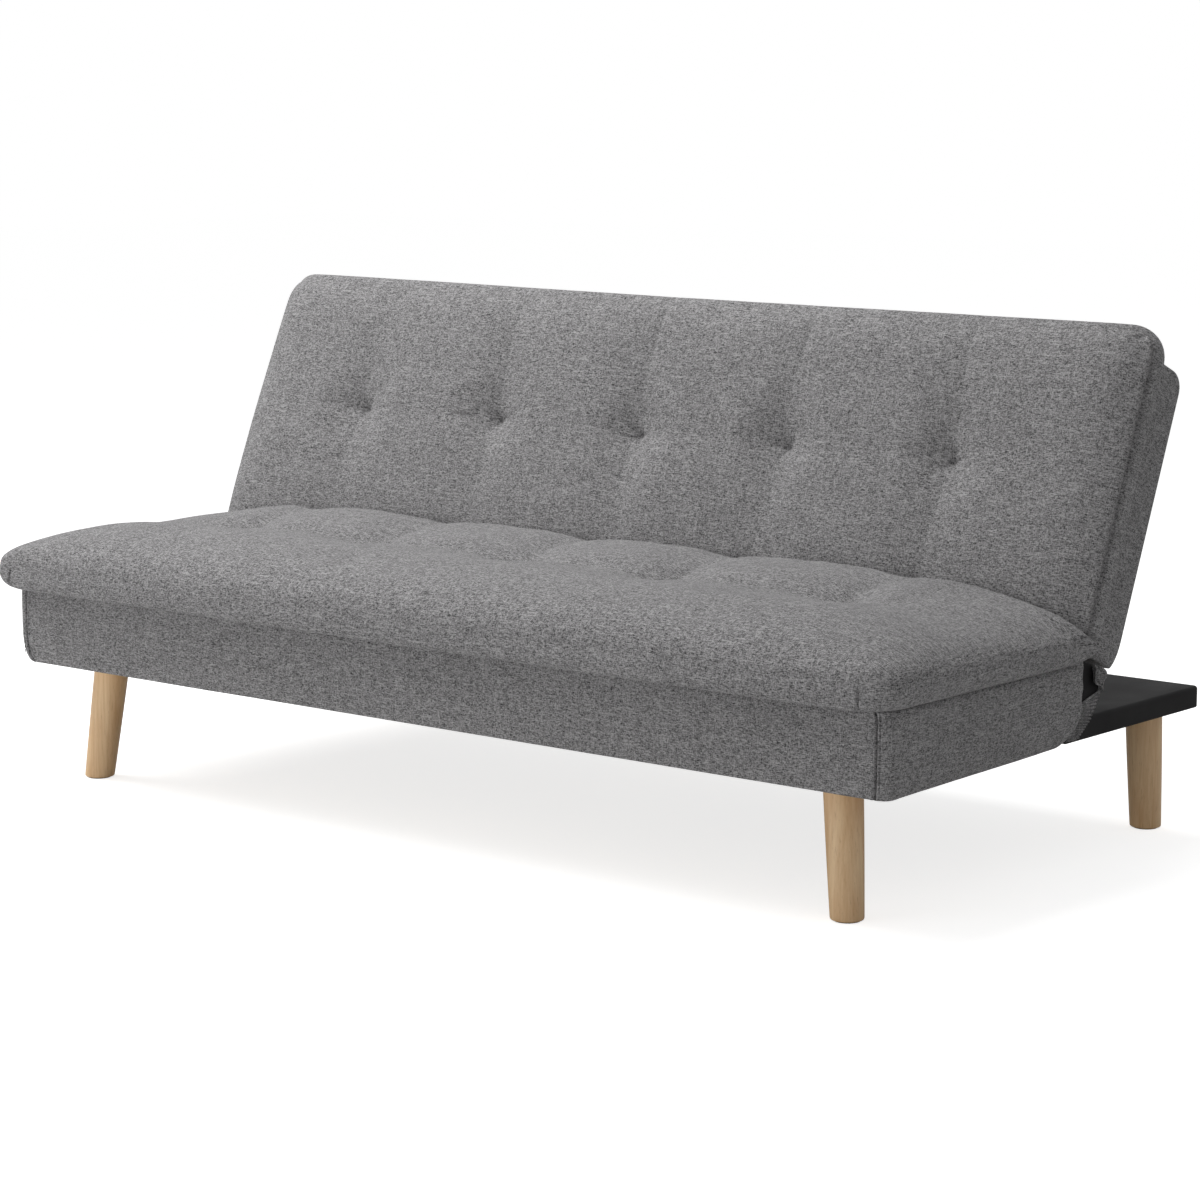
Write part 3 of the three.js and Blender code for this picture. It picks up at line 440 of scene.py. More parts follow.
def off_footprint(x, y, half, near, far, radii):
    """Distances from the sides, the near edge and the far edge, which reach 0 on the round corners too."""
    depth = (far - near) / 2
    y = y - (near + far) / 2
    radius = np.where(y < 0, *radii)
    dx, dy = np.abs(x) - (half - radius), np.abs(y) - (depth - radius)
    inside = (dx > 0) & (dy > 0)
    push = np.where(inside, np.hypot(dx, dy) / np.maximum(np.maximum(dx, dy), 1e-9), 1)
    across = np.where(inside, radius - dx * push, half - np.abs(x))
    along = np.where(inside, radius - dy * push, depth - np.abs(y))
    opposite = depth * 2 - along
    return across, np.where(y < 0, along, opposite), np.where(y < 0, opposite, along)


OTHER_WAY = [0, 3, 2, 1]


def grid_faces(index):
    """The faces of a grid of points, from the points' numbers."""
    return np.stack([index[:-1, :-1], index[:-1, 1:], index[1:, 1:], index[1:, :-1]], -1).reshape(-1, 4)


def ring_faces(rings, sides, first=0):
    """The faces of a closed skin over rings of points, with a face at each end."""
    index = first + np.arange(rings * sides).reshape(rings, sides)
    after = np.roll(np.arange(sides), -1)
    faces = np.stack([index[:-1], index[:-1, after], index[1:, after], index[1:]], -1).reshape(-1, 4).tolist()
    return faces + [index[0, ::-1].tolist(), index[-1].tolist()]


def cushion_mesh(us, vs, rings, top):
    """Points and faces of a closed cushion.

    rings are (half, near, far, radii, z) from the top's rim down to the foot, which is closed by the same grid as the
    top.
    """
    v_grid, u_grid = np.meshgrid(vs, us, indexing="ij")
    x, y = on_footprint(u_grid, v_grid, *rings[0][:4])
    points = [np.stack([x, y, rings[0][4] + top(x, y)], -1).reshape(-1, 3)]
    columns, rows = len(us), len(vs)
    index = np.arange(rows * columns).reshape(rows, columns)

    faces = grid_faces(index).tolist()
    edge = np.concatenate([index[0, :-1], index[:-1, -1], index[-1, :0:-1], index[:0:-1, 0]])
    edge_u, edge_v = u_grid.ravel()[edge], v_grid.ravel()[edge]
    count = len(edge)
    previous, start = edge, rows * columns
    after = np.roll(np.arange(count), -1)
    for half, near, far, radius, z in rings[1:]:
        x, y = on_footprint(edge_u, edge_v, half, near, far, radius)
        points.append(np.stack([x, y, np.full(count, float(z))], -1))
        current = np.arange(start, start + count)
        start += count
        faces += np.stack([previous, current, current[after], previous[after]], -1).tolist()
        previous = current
    foot = np.full(rows * columns, -1)
    foot[edge] = previous
    inside = np.flatnonzero(foot < 0)
    foot[inside] = start + np.arange(len(inside))
    half, near, far, radius, z = rings[-1]
    x, y = on_footprint(u_grid.ravel()[inside], v_grid.ravel()[inside], half, near, far, radius)
    points.append(np.stack([x, y, np.full(len(inside), float(z))], -1))
    faces += grid_faces(foot.reshape(rows, columns))[:, ::-1].tolist()
    return np.concatenate(points), faces


def mesh_points(piece):
    return values_of(piece.data.vertices, "co")


def place_points(piece, points):
    piece.data.vertices.foreach_set("co", points.ravel())
    piece.data.update()


def finer(piece):
    """Subdivides a piece's mesh once, keeping its cloth map."""
    modifier = piece.modifiers.new("finer", "SUBSURF")
    modifier.levels = modifier.render_levels = 1
    apply_modifiers(piece)


def apply_modifiers(piece):
    graph = bpy.context.evaluated_depsgraph_get()
    solved = bpy.data.meshes.new_from_object(piece.evaluated_get(graph))
    piece.modifiers.clear()
    old, name = piece.data, piece.data.name
    piece.data = solved
    bpy.data.meshes.remove(old)
    solved.name = name
    solved.shade_smooth()


FILL_FRAMES = 20


def fill_out(piece, held, reach, slack):
    """Fills a cushion against its pulled points, as a short cloth run.

    held is 1 where the cloth is sewn down. No point ends further than reach, in metres, from where it began.
    """
    start = mesh_points(piece)
    group = piece.vertex_groups.new(name="held")
    for weight in np.unique(np.round(held, 1)):
        if weight > 0:
            members = np.flatnonzero(np.round(held, 1) == weight)
            group.add(members.tolist(), float(weight), "REPLACE")
    filling = piece.modifiers.new("filling", "CLOTH")
    cloth = filling.settings
    cloth.quality = 6
    cloth.mass = 0.25
    cloth.tension_stiffness = cloth.compression_stiffness = 14
    cloth.shear_stiffness = 5
    cloth.bending_stiffness = 0.35
    cloth.air_damping = 1.5
    cloth.use_pressure = True
    cloth.uniform_pressure_force = 4.0
    cloth.shrink_min = -slack
    cloth.vertex_group_mass = "held"
    cloth.effector_weights.gravity = 0
    filling.point_cache.frame_start = 1
    filling.point_cache.frame_end = FILL_FRAMES
    scene = bpy.context.scene
    for frame_number in range(1, FILL_FRAMES + 1):
        scene.frame_set(frame_number)
    graph = bpy.context.evaluated_depsgraph_get()
    move = values_of(piece.evaluated_get(graph).data.vertices, "co") - start
    length = np.linalg.norm(move, axis=1, keepdims=True)
    move *= reach * np.tanh(length / reach) / np.maximum(length, 1e-9)
    piece.modifiers.clear()
    piece.vertex_groups.clear()
    scene.frame_set(1)
    place_points(piece, start + move * (1 - np.clip(held, 0, 1))[:, None])


def through(shares, steps):
    """A smooth curve through points, as an array of points."""
    shares = np.asarray(shares, float)
    knots = np.concatenate([[0], np.cumsum(np.linalg.norm(np.diff(shares, axis=0), axis=1))])
    at = np.linspace(0, knots[-1], steps)
    slopes = np.gradient(shares, knots, axis=0)
    k = np.clip(np.searchsorted(knots, at, side="right") - 1, 0, len(knots) - 2)
    width = knots[k + 1] - knots[k]
    t = ((at - knots[k]) / width)[:, None]
    width = width[:, None]
    return ((2 * t ** 3 - 3 * t ** 2 + 1) * shares[k] + (t ** 3 - 2 * t ** 2 + t) * width * slopes[k]
            + (3 * t ** 2 - 2 * t ** 3) * shares[k + 1] + (t ** 3 - t ** 2) * width * slopes[k + 1])


# ---------------------------------------------------------------------------------------------
# Seat cushion
# ---------------------------------------------------------------------------------------------

SEAT_HALF = seat_high.x / MM
SEAT_FRONT = (seat_low.y - BOX_FRONT) / MM
SEAT_REAR = (seat_high.y - BOX_FRONT) / MM
SEAT_NOSE = 33.0
SEAT_RADII = (36, 30)
SEAT_CROWN = (seat_high.z - seat_low.z) / MM
SEAT_TUFTS = [(-608, 251), (-313, 255), (-9, 255), (290, 254), (613, 257)]
SEAT_TUFT_ROW = 255.0
# How far the rolls of the seat's top reach in from its sides, front and rear
SIDE_ROLL, FRONT_ROLL, REAR_ROLL = 300, 180, 24
# How deep the top is pulled: along the row, at a tuft, behind it and in front of it; and how high a pillow stands
ROW_SINK, TUFT_SINK, REAR_VALLEY, FRONT_VALLEY, PILLOW_RISE = 9, 12, 16, 5.5, 6
# The rounded edge from the nose down to the foot: height, how far the sides draw in, how far the front draws in
SEAT_EDGE = [(33, 0, 0), (28, 0.3, -1.2), (23, 1.1, -2), (18, 2.6, -2.4), (13.5, 4.6, -2.4), (9.5, 7.2, -1.8),
             (6, 10.2, -0.8), (3.2, 13.4, 0.8), (1.2, 17, 3), (0.2, 21, 6.4), (0, 26, 13)]
SEAT_CORNER_SEAM = 857
BOX_HALF = box_high.x / MM
# Pull folds of a rear corner: line, depth, width and the height of the lip beside it
CORNER_FOLDS = [
    ([(928, 44), (949.4, 32.9), (967.1, 23.3), (982.6, 12.9), (993, 4.8), (999, -3.3), (1006, -14), (1012, -20)],
     8.0, 3.2, 4.0),
    ([(984, 22), (996.6, 15.1), (1002.5, 8.5), (1009.2, -1.1), (1016, -9)], 4.0, 2.4, 2.4),
    ([(978, 10), (985, 0), (990, -10.7), (994, -18.1)], 3.4, 2.6, 2.8),
    ([(900, 40), (930, 27), (955, 12), (972, 0)], 1.4, 4.0, 1.2),
]


def seat_top(x, y):
    """Rise of the seat's top over its nose: a front roll, a pulled row of dimples, and pillows behind it."""
    across_end, from_front, from_rear = off_footprint(x, y, SEAT_HALF, SEAT_FRONT, SEAT_REAR, SEAT_RADII)
    side = swell(across_end / SIDE_ROLL) ** 0.8
    near = swell(from_front / FRONT_ROLL) ** 0.82
    far = swell(from_rear / REAR_ROLL)
    edge = 1 / np.sqrt(np.maximum(side, 1e-3) ** -2.2 + np.maximum(near, 1e-3) ** -2.2 - 1)
    behind = y - SEAT_TUFT_ROW
    middle = np.exp(-np.maximum(0, np.abs(x) - 610) / 70)
    before_row = np.exp(np.minimum(0, behind) / 15)
    after_row = np.exp(-(np.maximum(0, behind) / 36) ** 1.3)
    sink = ROW_SINK * np.where(behind < 0, before_row, after_row) * middle
    for tuft_x, tuft_y in SEAT_TUFTS:
        across, deep = x - tuft_x, y - tuft_y
        reach = np.hypot(across * 0.92, deep)
        sink = sink + TUFT_SINK * pulled(reach, 32, 7)
        sink = sink + (REAR_VALLEY * pulled(across + 0.12 * deep, 40, 7)
                       * ease((deep + 14) / 40) * (1 - 0.6 * ease(deep / 200)))
        sink = sink + FRONT_VALLEY * pulled(across, 44, 16) * ease((-deep + 6) / 30) * ease((deep + 95) / 75)
    gap = np.interp(x, [-SEAT_HALF, *[t[0] for t in SEAT_TUFTS], SEAT_HALF], [0, 1, 2, 3, 4, 5, 6])
    pillow = (PILLOW_RISE * np.abs(np.sin(np.pi * gap)) ** 0.7
              * ease((behind + 22) / 70) * ease((800 - np.abs(x)) / 190))
    soft = 1.2 * drift(x, y, 260, 4)
    corner = np.hypot(SEAT_HALF - np.abs(x), SEAT_REAR - y)
    drop = np.where(x > 0, 10, 6) * np.exp(-(corner / 190) ** 2)
    drop = drop + (np.where(x < 0, 9, 2) * np.exp(-((np.abs(x) - 680) / 55) ** 2)
                   * np.exp(-((y - 235) / 80) ** 2))
    rise = (SEAT_CROWN - SEAT_NOSE + 1 - 10.5 * ease((y - 90) / 160) + 2 * ease((y - 280) / 80)
            + pillow - sink + soft - drop)
    return edge * far * np.maximum(4, rise)


def along_line(p, q, line):
    """Signed distance from a bent line in a drawing, and the share of its length passed at its nearest point."""
    line = np.asarray(line, float)
    steps = np.diff(line, axis=0)
    lengths = np.linalg.norm(steps, axis=1)
    passed = np.concatenate([[0], np.cumsum(lengths)])
    best = np.full(p.shape, 1e9)
    away, share = np.zeros(p.shape), np.zeros(p.shape)
    for start, step, length, before in zip(line, steps, lengths, passed):
        t = np.clip(((p - start[0]) * step[0] + (q - start[1]) * step[1]) / length ** 2, 0, 1)
        dp, dq = p - start[0] - t * step[0], q - start[1] - t * step[1]
        distance = np.hypot(dp, dq)
        closer = distance < best
        best = np.where(closer, distance, best)
        away = np.where(closer, distance * np.sign(step[0] * dq - step[1] * dp), away)
        share = np.where(closer, (before + t * length) / passed[-1], share)
    return away, share


def seat_folds(points, normals):
    """What the sewing adds to the filled seat, in millimetres.

    Corner tongues with their pull folds, a tuck in each front corner, and the pinch of each dimple.
    """
    x, y, z = points.T.copy()
    out = points.copy()
    side = np.abs(x)
    # The rear corners are drawn down and back to a tip
    tip_x, tip_y, tip_z = SEAT_HALF - 2, SEAT_REAR + 2, 20.0
    reach = np.hypot(tip_x - side, tip_y - y)
    draw = 0.92 * np.exp(-(reach / 27) ** 2)[:, None]
    tip = np.stack([np.sign(x) * (tip_x + 6), np.full(len(x), tip_y + 22), np.full(len(x), tip_z)], -1)
    out += draw * (tip - points)
    # Pull folds, drawn as they are seen from the corner's own front quarter
    towards = np.array([0.628, -0.762, 0.157])
    mirrored = normals * np.stack([np.sign(x), np.ones(len(x)), np.ones(len(x))], -1)
    facing = ease(mirrored @ towards / 0.25)
    p = 0.772 * np.abs(out[:, 0]) + 0.636 * out[:, 1]
    q = -0.1 * np.abs(out[:, 0]) + 0.121 * out[:, 1] + 0.988 * out[:, 2]
    for line, depth, width, lip in CORNER_FOLDS:
        away, share = along_line(p, q, line)
        fade = np.sin(np.pi * np.clip(share, 0.02, 0.98)) ** 0.6
        raised = lip * np.exp(-((away + 1.7 * width) / (1.1 * width)) ** 2)
        amount = raised - depth * np.exp(-(away / width) ** 2)
        out += (amount * fade * facing * (side > 600))[:, None] * normals
    # Front corner tuck: a seam up the corner with a short fold across it
    front = ease((SEAT_FRONT + 40 - y) / 20)
    low = ease((z - 1) / 4) * ease((34 - z) / 6)
    seam = np.abs(side - SEAT_CORNER_SEAM)
    out[:, 1] += (4.4 * np.exp(-(seam / 1.7) ** 2) - 0.9 * np.exp(-((seam - 4) / 2.5) ** 2)) * front * low
    across = ease((side - 852) / 3) * ease((880 - side) / 6)
    out[:, 1] += 2.6 * np.exp(-((z - 30) / 1.6) ** 2) * across * front
    # Pinches
    for tuft_x, tuft_y in SEAT_TUFTS:
        distance = np.hypot(x - tuft_x, y - tuft_y)
        turn = np.arctan2(y - tuft_y, x - tuft_x)
        ray = np.cos(6 * turn + tuft_x) * ease(distance / 14) * np.exp(-distance / 26)
        out[:, 2] -= np.where(z > SEAT_NOSE, 7 * pulled(distance, 6, 1.5) + 1.5 * ray, 0)
    return out


def add_seat_cushion():
    """The seat cushion: a crowned form on its rounded edge, filled out, then its folds and pinches."""
    half, front, rear = SEAT_HALF, SEAT_FRONT, SEAT_REAR
    us = np.concatenate([places([-1, SEAT_TUFTS[0][0] / half], [40], 0.8)[:-1],
                         places([t[0] / half for t in SEAT_TUFTS], [26] * 4)[:-1],
                         places([SEAT_TUFTS[-1][0] / half, 1], [40], 0.8)])
    tuck = np.array([-3.6, -1.2, 1.2, 3.6]) + SEAT_CORNER_SEAM
    us = np.sort(np.concatenate([us, tuck / half, -tuck / half]))
    middle = (front + rear) / 2
    row = (SEAT_TUFT_ROW - middle) / (rear - middle)
    vs = np.concatenate([places([-1, row], [32], 0.85)[:-1], places([row, 1], [34], 0.7)])
    rings = [(half - draw, front + front_draw, rear - 0.25 * draw,
              (SEAT_RADII[0] + draw * 1.5, SEAT_RADII[1] - draw * 0.3), z) for z, draw, front_draw in SEAT_EDGE]
    points, faces = cushion_mesh(us, vs, rings, seat_top)
    x, y, z = points.T
    low = ease((70 - z) / 40) * ease(z / 12)
    push = 1.4 * drift(x, z * 3 + y, 230, 9) * low
    front_face = ease((60 - y) / 60)
    points[:, 1] -= push * front_face
    points[:, 0] += np.sign(x) * push * (1 - front_face) * ease((np.abs(x) - half + 60) / 40)
    to_sofa = np.array([0, BOX_FRONT, seat_low.z])
    piece = add_mesh("seat_cushion_linen", points * MM + to_sofa, faces, cushion_linen)
    held = ease((30 - z) / 24)
    for tuft_x, tuft_y in SEAT_TUFTS:
        held = np.maximum(held, (np.hypot(x - tuft_x, y - tuft_y) < 9) & (z > SEAT_NOSE))
    held = np.maximum(held, ease((y - SEAT_REAR + 24) / 20))
    held = np.maximum(held, 0.5 * np.exp(-((y - SEAT_TUFT_ROW) / 16) ** 2) * (z > SEAT_NOSE))
    held = np.maximum(held, 0.8 * ease((225 - y) / 60))
    held = np.maximum(held, ease((np.abs(x) - 640) / 200))
    fill_out(piece, held, reach=0.005, slack=0.008)
    finer(piece)
    folded = seat_folds((mesh_points(piece) - to_sofa) / MM, values_of(piece.data.vertices, "normal"))
    place_points(piece, folded * MM + to_sofa)
    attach(piece, "base")
    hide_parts("seat_cushion")


# ---------------------------------------------------------------------------------------------
# Back cushion
# ---------------------------------------------------------------------------------------------

pad_low, pad_high = local_box("back_cushion")
PAD_HALF = pad_high[0] / MM - 1
PAD_FOOT = pad_low[2] / MM + 1
PAD_TOP = pad_high[2] / MM + 2
PAD_REAR = -pad_high[1] / MM
PAD_EDGE = 33.0
PAD_RADII = (14, 52)
PAD_CROWN = -pad_low[1] / MM - PAD_REAR
PAD_TUFT_ROW = 240
# The band from the edge seam to the back: height, and how far it stands out
PAD_BAND = [(34.8, -2.4), (33.4, -6.6), (31.8, -7.4), (30.4, -3.6), (29.2, -0.2), (27, 0.9), (22, 1.9), (16, 2.3),
            (10, 1.8), (5, 0.4), (2, -1.8), (0.3, -5), (0, -9)]
# How deep the face is pulled along the row, up and down from each tuft, in the crease beside it and at the tuft
PAD_ROW_SINK, PAD_VALLEY, PAD_CREASE, PAD_TUFT_SINK = 1.4, 9, 4.5, 12
BACK_TUFTS = [(-626, 240), (-322, 240), (-19, 238), (279, 241), (590, 241)]


def pad_top(x, z):
    """Rise of the back cushion's face over its edge seam, with a soft valley up and down from each tuft."""
    across_end, from_foot, from_top = off_footprint(x, z, PAD_HALF, PAD_FOOT, PAD_TOP, PAD_RADII)
    rim = swell(across_end / 105) * swell(from_top / 105) * swell(from_foot / 150)
    sink = PAD_ROW_SINK * np.exp(-((z - PAD_TUFT_ROW) / 26) ** 2) * ease((760 - np.abs(x)) / 120)
    upward = 0.35 + 0.65 * ease((PAD_TOP - 30 - z) / 190)
    downward = 0.45 + 0.55 * ease((z - PAD_FOOT) / 190)
    for tuft_x, tuft_z in BACK_TUFTS:
        across = x - tuft_x
        length = np.where(z > tuft_z, upward, downward)
        crease = PAD_CREASE * pulled(across, 18, 6) * np.exp(-np.abs(z - tuft_z) / 95)
        sink = sink + PAD_VALLEY * np.exp(-(across / 46) ** 2) * length + crease
        sink = sink + PAD_TUFT_SINK * pulled(np.hypot(across, z - tuft_z), 24, 5)
    soft = 1.3 * drift(x, z, 280, 14)
    return rim * np.maximum(3, PAD_CROWN - PAD_EDGE + 1 - sink + soft)


def pad_folds(points):
    """The pinch of each tuft and its short pull folds. points lie on the cushion's back: x, z, height."""
    x, z, height = points.T
    out = points.copy()
    for tuft_x, tuft_z in BACK_TUFTS:
        distance = np.hypot(x - tuft_x, z - tuft_z)
        turn = np.arctan2(z - tuft_z, x - tuft_x)
        ray = np.cos(5 * turn + tuft_x) * ease(distance / 12) * np.exp(-distance / 24)
        out[:, 2] -= np.where(height > PAD_EDGE, 8 * pulled(distance, 6, 1.5) + 2.0 * ray, 0)
    return out


def add_back_cushion():
    """The back cushion: a crowned face on a sewn band, made lying on its back and stood up against the frame."""
    half, foot, top = PAD_HALF, PAD_FOOT, PAD_TOP
    us = np.concatenate([places([-1, BACK_TUFTS[0][0] / half], [30], 0.8)[:-1],
                         places([t[0] / half for t in BACK_TUFTS], [26] * 4)[:-1],
                         places([BACK_TUFTS[-1][0] / half, 1], [30], 0.8)])
    middle = (foot + top) / 2
    row = (PAD_TUFT_ROW - middle) / (top - middle)
    vs = np.concatenate([places([-1, row], [26], 0.7)[:-1], places([row, 1], [28], 0.8)])
    rings = [(half + grow, foot - grow, top + grow, (PAD_RADII[0] + 2 + grow, PAD_RADII[1] + 2 + grow), height)
             for height, grow in PAD_BAND]
    points, faces = cushion_mesh(us, vs, rings, pad_top)
    # The left end is stuffed a little fuller
    points[:, 0] -= 7 * ease(-points[:, 0] / half - 0.1) * ease((470 - points[:, 1]) / 300)
    points[:, 1] += 4 * ease(-points[:, 0] / 900 + 0.15) * ease((points[:, 1] - 300) / 170)

    def stand(lying):
        return np.stack([lying[:, 0], -lying[:, 2] - PAD_REAR, lying[:, 1]], -1) * MM

    def lie(standing):
        standing = standing / MM
        return np.stack([standing[:, 0], standing[:, 2], -standing[:, 1] - PAD_REAR], -1)

    piece = add_mesh("back_cushion_linen", stand(points), faces, cushion_linen)
    x, z, height = points.T
    held = np.maximum(ease((PAD_EDGE + 12 - height) / 12), ease((30 - PAD_HALF + np.abs(x)) / 30))
    held = np.maximum(held, ease((30 - PAD_TOP + z) / 30))
    for tuft_x, tuft_z in BACK_TUFTS:
        held = np.maximum(held, (np.hypot(x - tuft_x, z - tuft_z) < 9) & (height > PAD_EDGE))
    fill_out(piece, held, reach=0.0045, slack=0.015)
    finer(piece)
    place_points(piece, stand(pad_folds(lie(mesh_points(piece)))))
    piece.data.transform(BACK_FRAME)
    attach(piece, "backrest")
    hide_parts("back_cushion")


# ---------------------------------------------------------------------------------------------
# Upholstered box, back, hems and platform
# ---------------------------------------------------------------------------------------------

BOX_HEIGHT = (box_high.z - box_low.z) / MM
BOX_DEPTH = (box_high.y - box_low.y) / MM
# Where a side panel ends at each height, as shares of the box's height and depth
REAR_SHARES = np.array([[0, 0.865], [0.064, 0.877], [0.125, 0.900], [0.24, 0.918], [0.4, 0.931], [0.645, 0.936],
                        [0.82, 0.932], [0.93, 0.917], [1, 0.895]])
# How far a panel is drawn in at each height, as shares of the box's height and of the tuck
TUCK_SHARES = np.array([[1, 0.26], [0.985, 0.14], [0.96, 0.06], [0.92, 0.015], [0.80, 0], [0.6, 0.0],
                        [0.45, 0.005], [0.3, 0.055], [0.15, 0.24], [0.07, 0.46], [0.02, 0.72], [0, 0.95]])
# The corner seam, and where its groove is drawn finely
SEAM_X = 862.0
SEAM_STEPS = np.array([7, 5.5, 4, 2.6, 1.5, 0.7, 0, -0.7, -1.5, -2.6, -4, -5.5, -7])
BOX_RADIUS = 16.0


def box_rear(z):
    share = np.clip(z / BOX_HEIGHT, 0, 1)
    return BOX_DEPTH * np.interp(share, REAR_SHARES[:, 0], REAR_SHARES[:, 1])


def add_box_cover():
    """The box border: front panel, two side panels and their folded-under edges, one closed shell."""
    wall, side_wall, tuck = 6.0, 34.0, 24.0
    profile = through(TUCK_SHARES * [BOX_HEIGHT, tuck], 44)
    outer = [(z, draw, 0.0, BOX_RADIUS) for z, draw in profile]
    inner = [(z, side_wall, wall, 1.0) for z in np.linspace(0, BOX_HEIGHT, 14)]
    ends = places([0, 1], [80], 0.8)[:-1]
    plain = np.linspace(SEAM_X - 12, 0, 75)
    level = np.concatenate([SEAM_X + SEAM_STEPS, plain]) / (BOX_HALF - BOX_RADIUS)

    def half_path(z, half, front, radius):
        """One half of the outline at a height: from the rear of a side panel to the middle of the front."""
        rear = box_rear(z)
        turn = np.linspace(0, np.pi / 2, 11)
        xs = [np.full(len(ends), half), half - radius + radius * np.cos(turn), (half - radius) * level]
        ys = [rear + (front + radius - rear) * ends, front + radius - radius * np.sin(turn),
              np.full(len(level), front)]
        return np.stack([np.concatenate(xs), np.concatenate(ys), np.full(len(ends) + 11 + len(level), z)], -1)

    loops = []
    for z, draw, front, radius in outer + inner:
        # The right end hangs nearly straight, and the left end is drawn in at its foot
        low = z < BOX_HEIGHT / 2 and draw < side_wall
        right = half_path(z, BOX_HALF - draw * (0.1 if low else 1), front, radius)
        if low:
            right[:, 0] -= draw * 0.9 * np.clip(right[:, 1] / 470, 0, 1) * ease((right[:, 0] - 700) / 100)
        left = half_path(z, BOX_HALF - draw, front, radius) * [-1, 1, 1]
        loops.append(np.concatenate([right, left[-2::-1]]))
    loops = np.array(loops)
    shells, stations = loops.shape[:2]
    index = np.arange(shells * stations).reshape(shells, stations)
    after = np.roll(np.arange(shells), -1)
    a, b = index[:, :-1], index[:, 1:]
    faces = np.stack([a, b, b[after], a[after]], -1).reshape(-1, 4).tolist()
    faces.append(index[::-1, 0].tolist())
    faces.append(index[:, -1].tolist())
    along_front = np.concatenate([np.full(len(ends) + 11, 2.0), level]) * (BOX_HALF - BOX_RADIUS)
    seam_away = np.abs(np.abs(along_front) - SEAM_X)
    seam_away = np.tile(np.concatenate([seam_away, seam_away[-2::-1]]), shells)
    points = loops.reshape(-1, 3)
    x, y, z = points.T
    outside = np.repeat(np.arange(shells) < len(outer), stations)
    bulge = 2.6 * np.sin(np.pi * np.clip(z / BOX_HEIGHT, 0, 1)) ** 0.6 + 0.9 * drift(x + y, z * 2, 230, 21)
    on_front = outside & (y < 2)
    points[:, 1] -= np.where(on_front, np.maximum(0, bulge) * ease((BOX_HALF - 18 - np.abs(x)) / 60), 0)
    on_side = outside & (y > 30)
    wave = 0.8 * drift(y, z * 2, 200, 22) * ease((y - 30) / 60)
    turned_in = 5 * ease(1 - (box_rear(z) - y) / 16) ** 2
    points[:, 0] += np.where(on_side, np.sign(x) * (wave - 0.8 - turned_in), 0)
    groove = 5.5 * np.exp(-(seam_away / 1.4) ** 2) - 1.2 * np.exp(-((seam_away - 4) / 2.5) ** 2)
    points[:, 1] += np.where(outside, groove, 0)
    points = points * MM + [0, BOX_FRONT, box_low.z]
    piece = add_mesh("seat_box_linen", points, faces, box_linen)
    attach(piece, "base")
    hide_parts("seat_box_cover")


def add_back_cover():
    """The back's upholstered shell behind the cushion, with rounded edges."""
    low, high = local_box("back_cover")
    half = high[0] / MM
    front, rear = low[1] / MM, high[1] / MM
    foot, top = low[2] / MM, high[2] / MM
    radius, edge = 30.0, 8.0
    # The rear turns in towards the foot over this depth and height
    turn, rise = 14, 48

    def outline(inset):
        """Side view, from the front of the foot round the rear and over the top to the front."""
        f, r, t = front + inset, rear - inset, top - inset
        bend = radius - inset
        curve = [(f, foot), (r - turn, foot)]
        for s in np.linspace(0, 1, 9)[1:]:
            curve.append(((1 - s) ** 2 * (r - turn) + 2 * s * (1 - s) * r + s * s * r,
                          (1 - s) ** 2 * foot + 2 * s * (1 - s) * (foot + 16) + s * s * (foot + rise)))
        for s in np.linspace(0, 1, 26)[1:]:
            curve.append((r, foot + rise + (t - bend - foot - rise) * s))
        for s in np.linspace(0, np.pi / 2, 10)[1:]:
            curve.append((r - bend + bend * math.cos(s), t - bend + bend * math.sin(s)))
        for s in np.linspace(0, 1, 7)[1:]:
            curve.append((r - bend + (f - r + bend) * s, t))
        for s in np.linspace(0, 1, 30)[1:-1]:
            curve.append((f, t + (foot - t) * s))
        return np.array(curve)

    sections = []
    for s in np.linspace(0, np.pi / 2, 7):
        inset = edge * (1 - math.sin(s))
        sections.append((-half + edge * (1 - math.cos(s)), inset))
    inner_half = half - edge
    sections += [(x, 0.0) for x in np.linspace(-inner_half, inner_half, 120)[1:-1]] + [
        (-x, inset) for x, inset in sections[::-1]]
    rings = []
    for x, inset in sections:
        curve = outline(inset)
        rings.append(np.stack([np.full(len(curve), x), curve[:, 0], curve[:, 1]], -1))
    rings = np.array(rings)
    points = rings.reshape(-1, 3)
    x, y, z = points.T
    fullness = ease((half - np.abs(x)) / 60)
    at_rear = y > rear - 1
    points[:, 1] += np.where(at_rear, (1.5 + 1.2 * drift(x, z, 300, 31)) * fullness * ease((top - z) / 80), 0)
    piece = add_mesh("back_shell_linen", points * MM, ring_faces(*rings.shape[:2]), box_linen, BACK_FRAME)
    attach(piece, "backrest")
    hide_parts("back_cover")


# The hem, drawn from the side as depths and heights: the ruffle's two edges, the rim of the gathers below it, the
# bound edge of the box beside it, and the outer edge of the black sheet that paints the pocket's shade
RUFFLE_INNER = [(537, 116), (542, 108), (543, 101), (539.5, 94), (542, 88), (552, 83.5), (560.5, 78),
                (563, 72.5)]
RUFFLE_OUTER = [(554, 110.5), (566, 106), (575.5, 100), (575, 95), (571, 89), (568, 83), (565, 77.5),
                (563.6, 72)]
GATHER_OUTER = [(564, 74), (558, 67), (552.3, 58.6), (545, 51.5), (538.8, 46), (530, 36), (522, 28), (513, 21),
                (505.2, 15.7), (497, 10)]
BINDING_OUTER = [(512, 125), (513, 110), (513.5, 100), (513.5, 90), (513, 81), (510, 75)]
POCKET_SHADE_OUTER = [(524, 121), (571, 98), (568, 85), (559, 69), (542, 51), (524, 32), (512, 22), (501, 14)]
RUFFLE_GRID, GATHER_GRID, BINDING_GRID, POCKET_SHADE_GRID = (120, 44), (330, 26), (40, 10), (60, 16)
GATHERS = 15.5


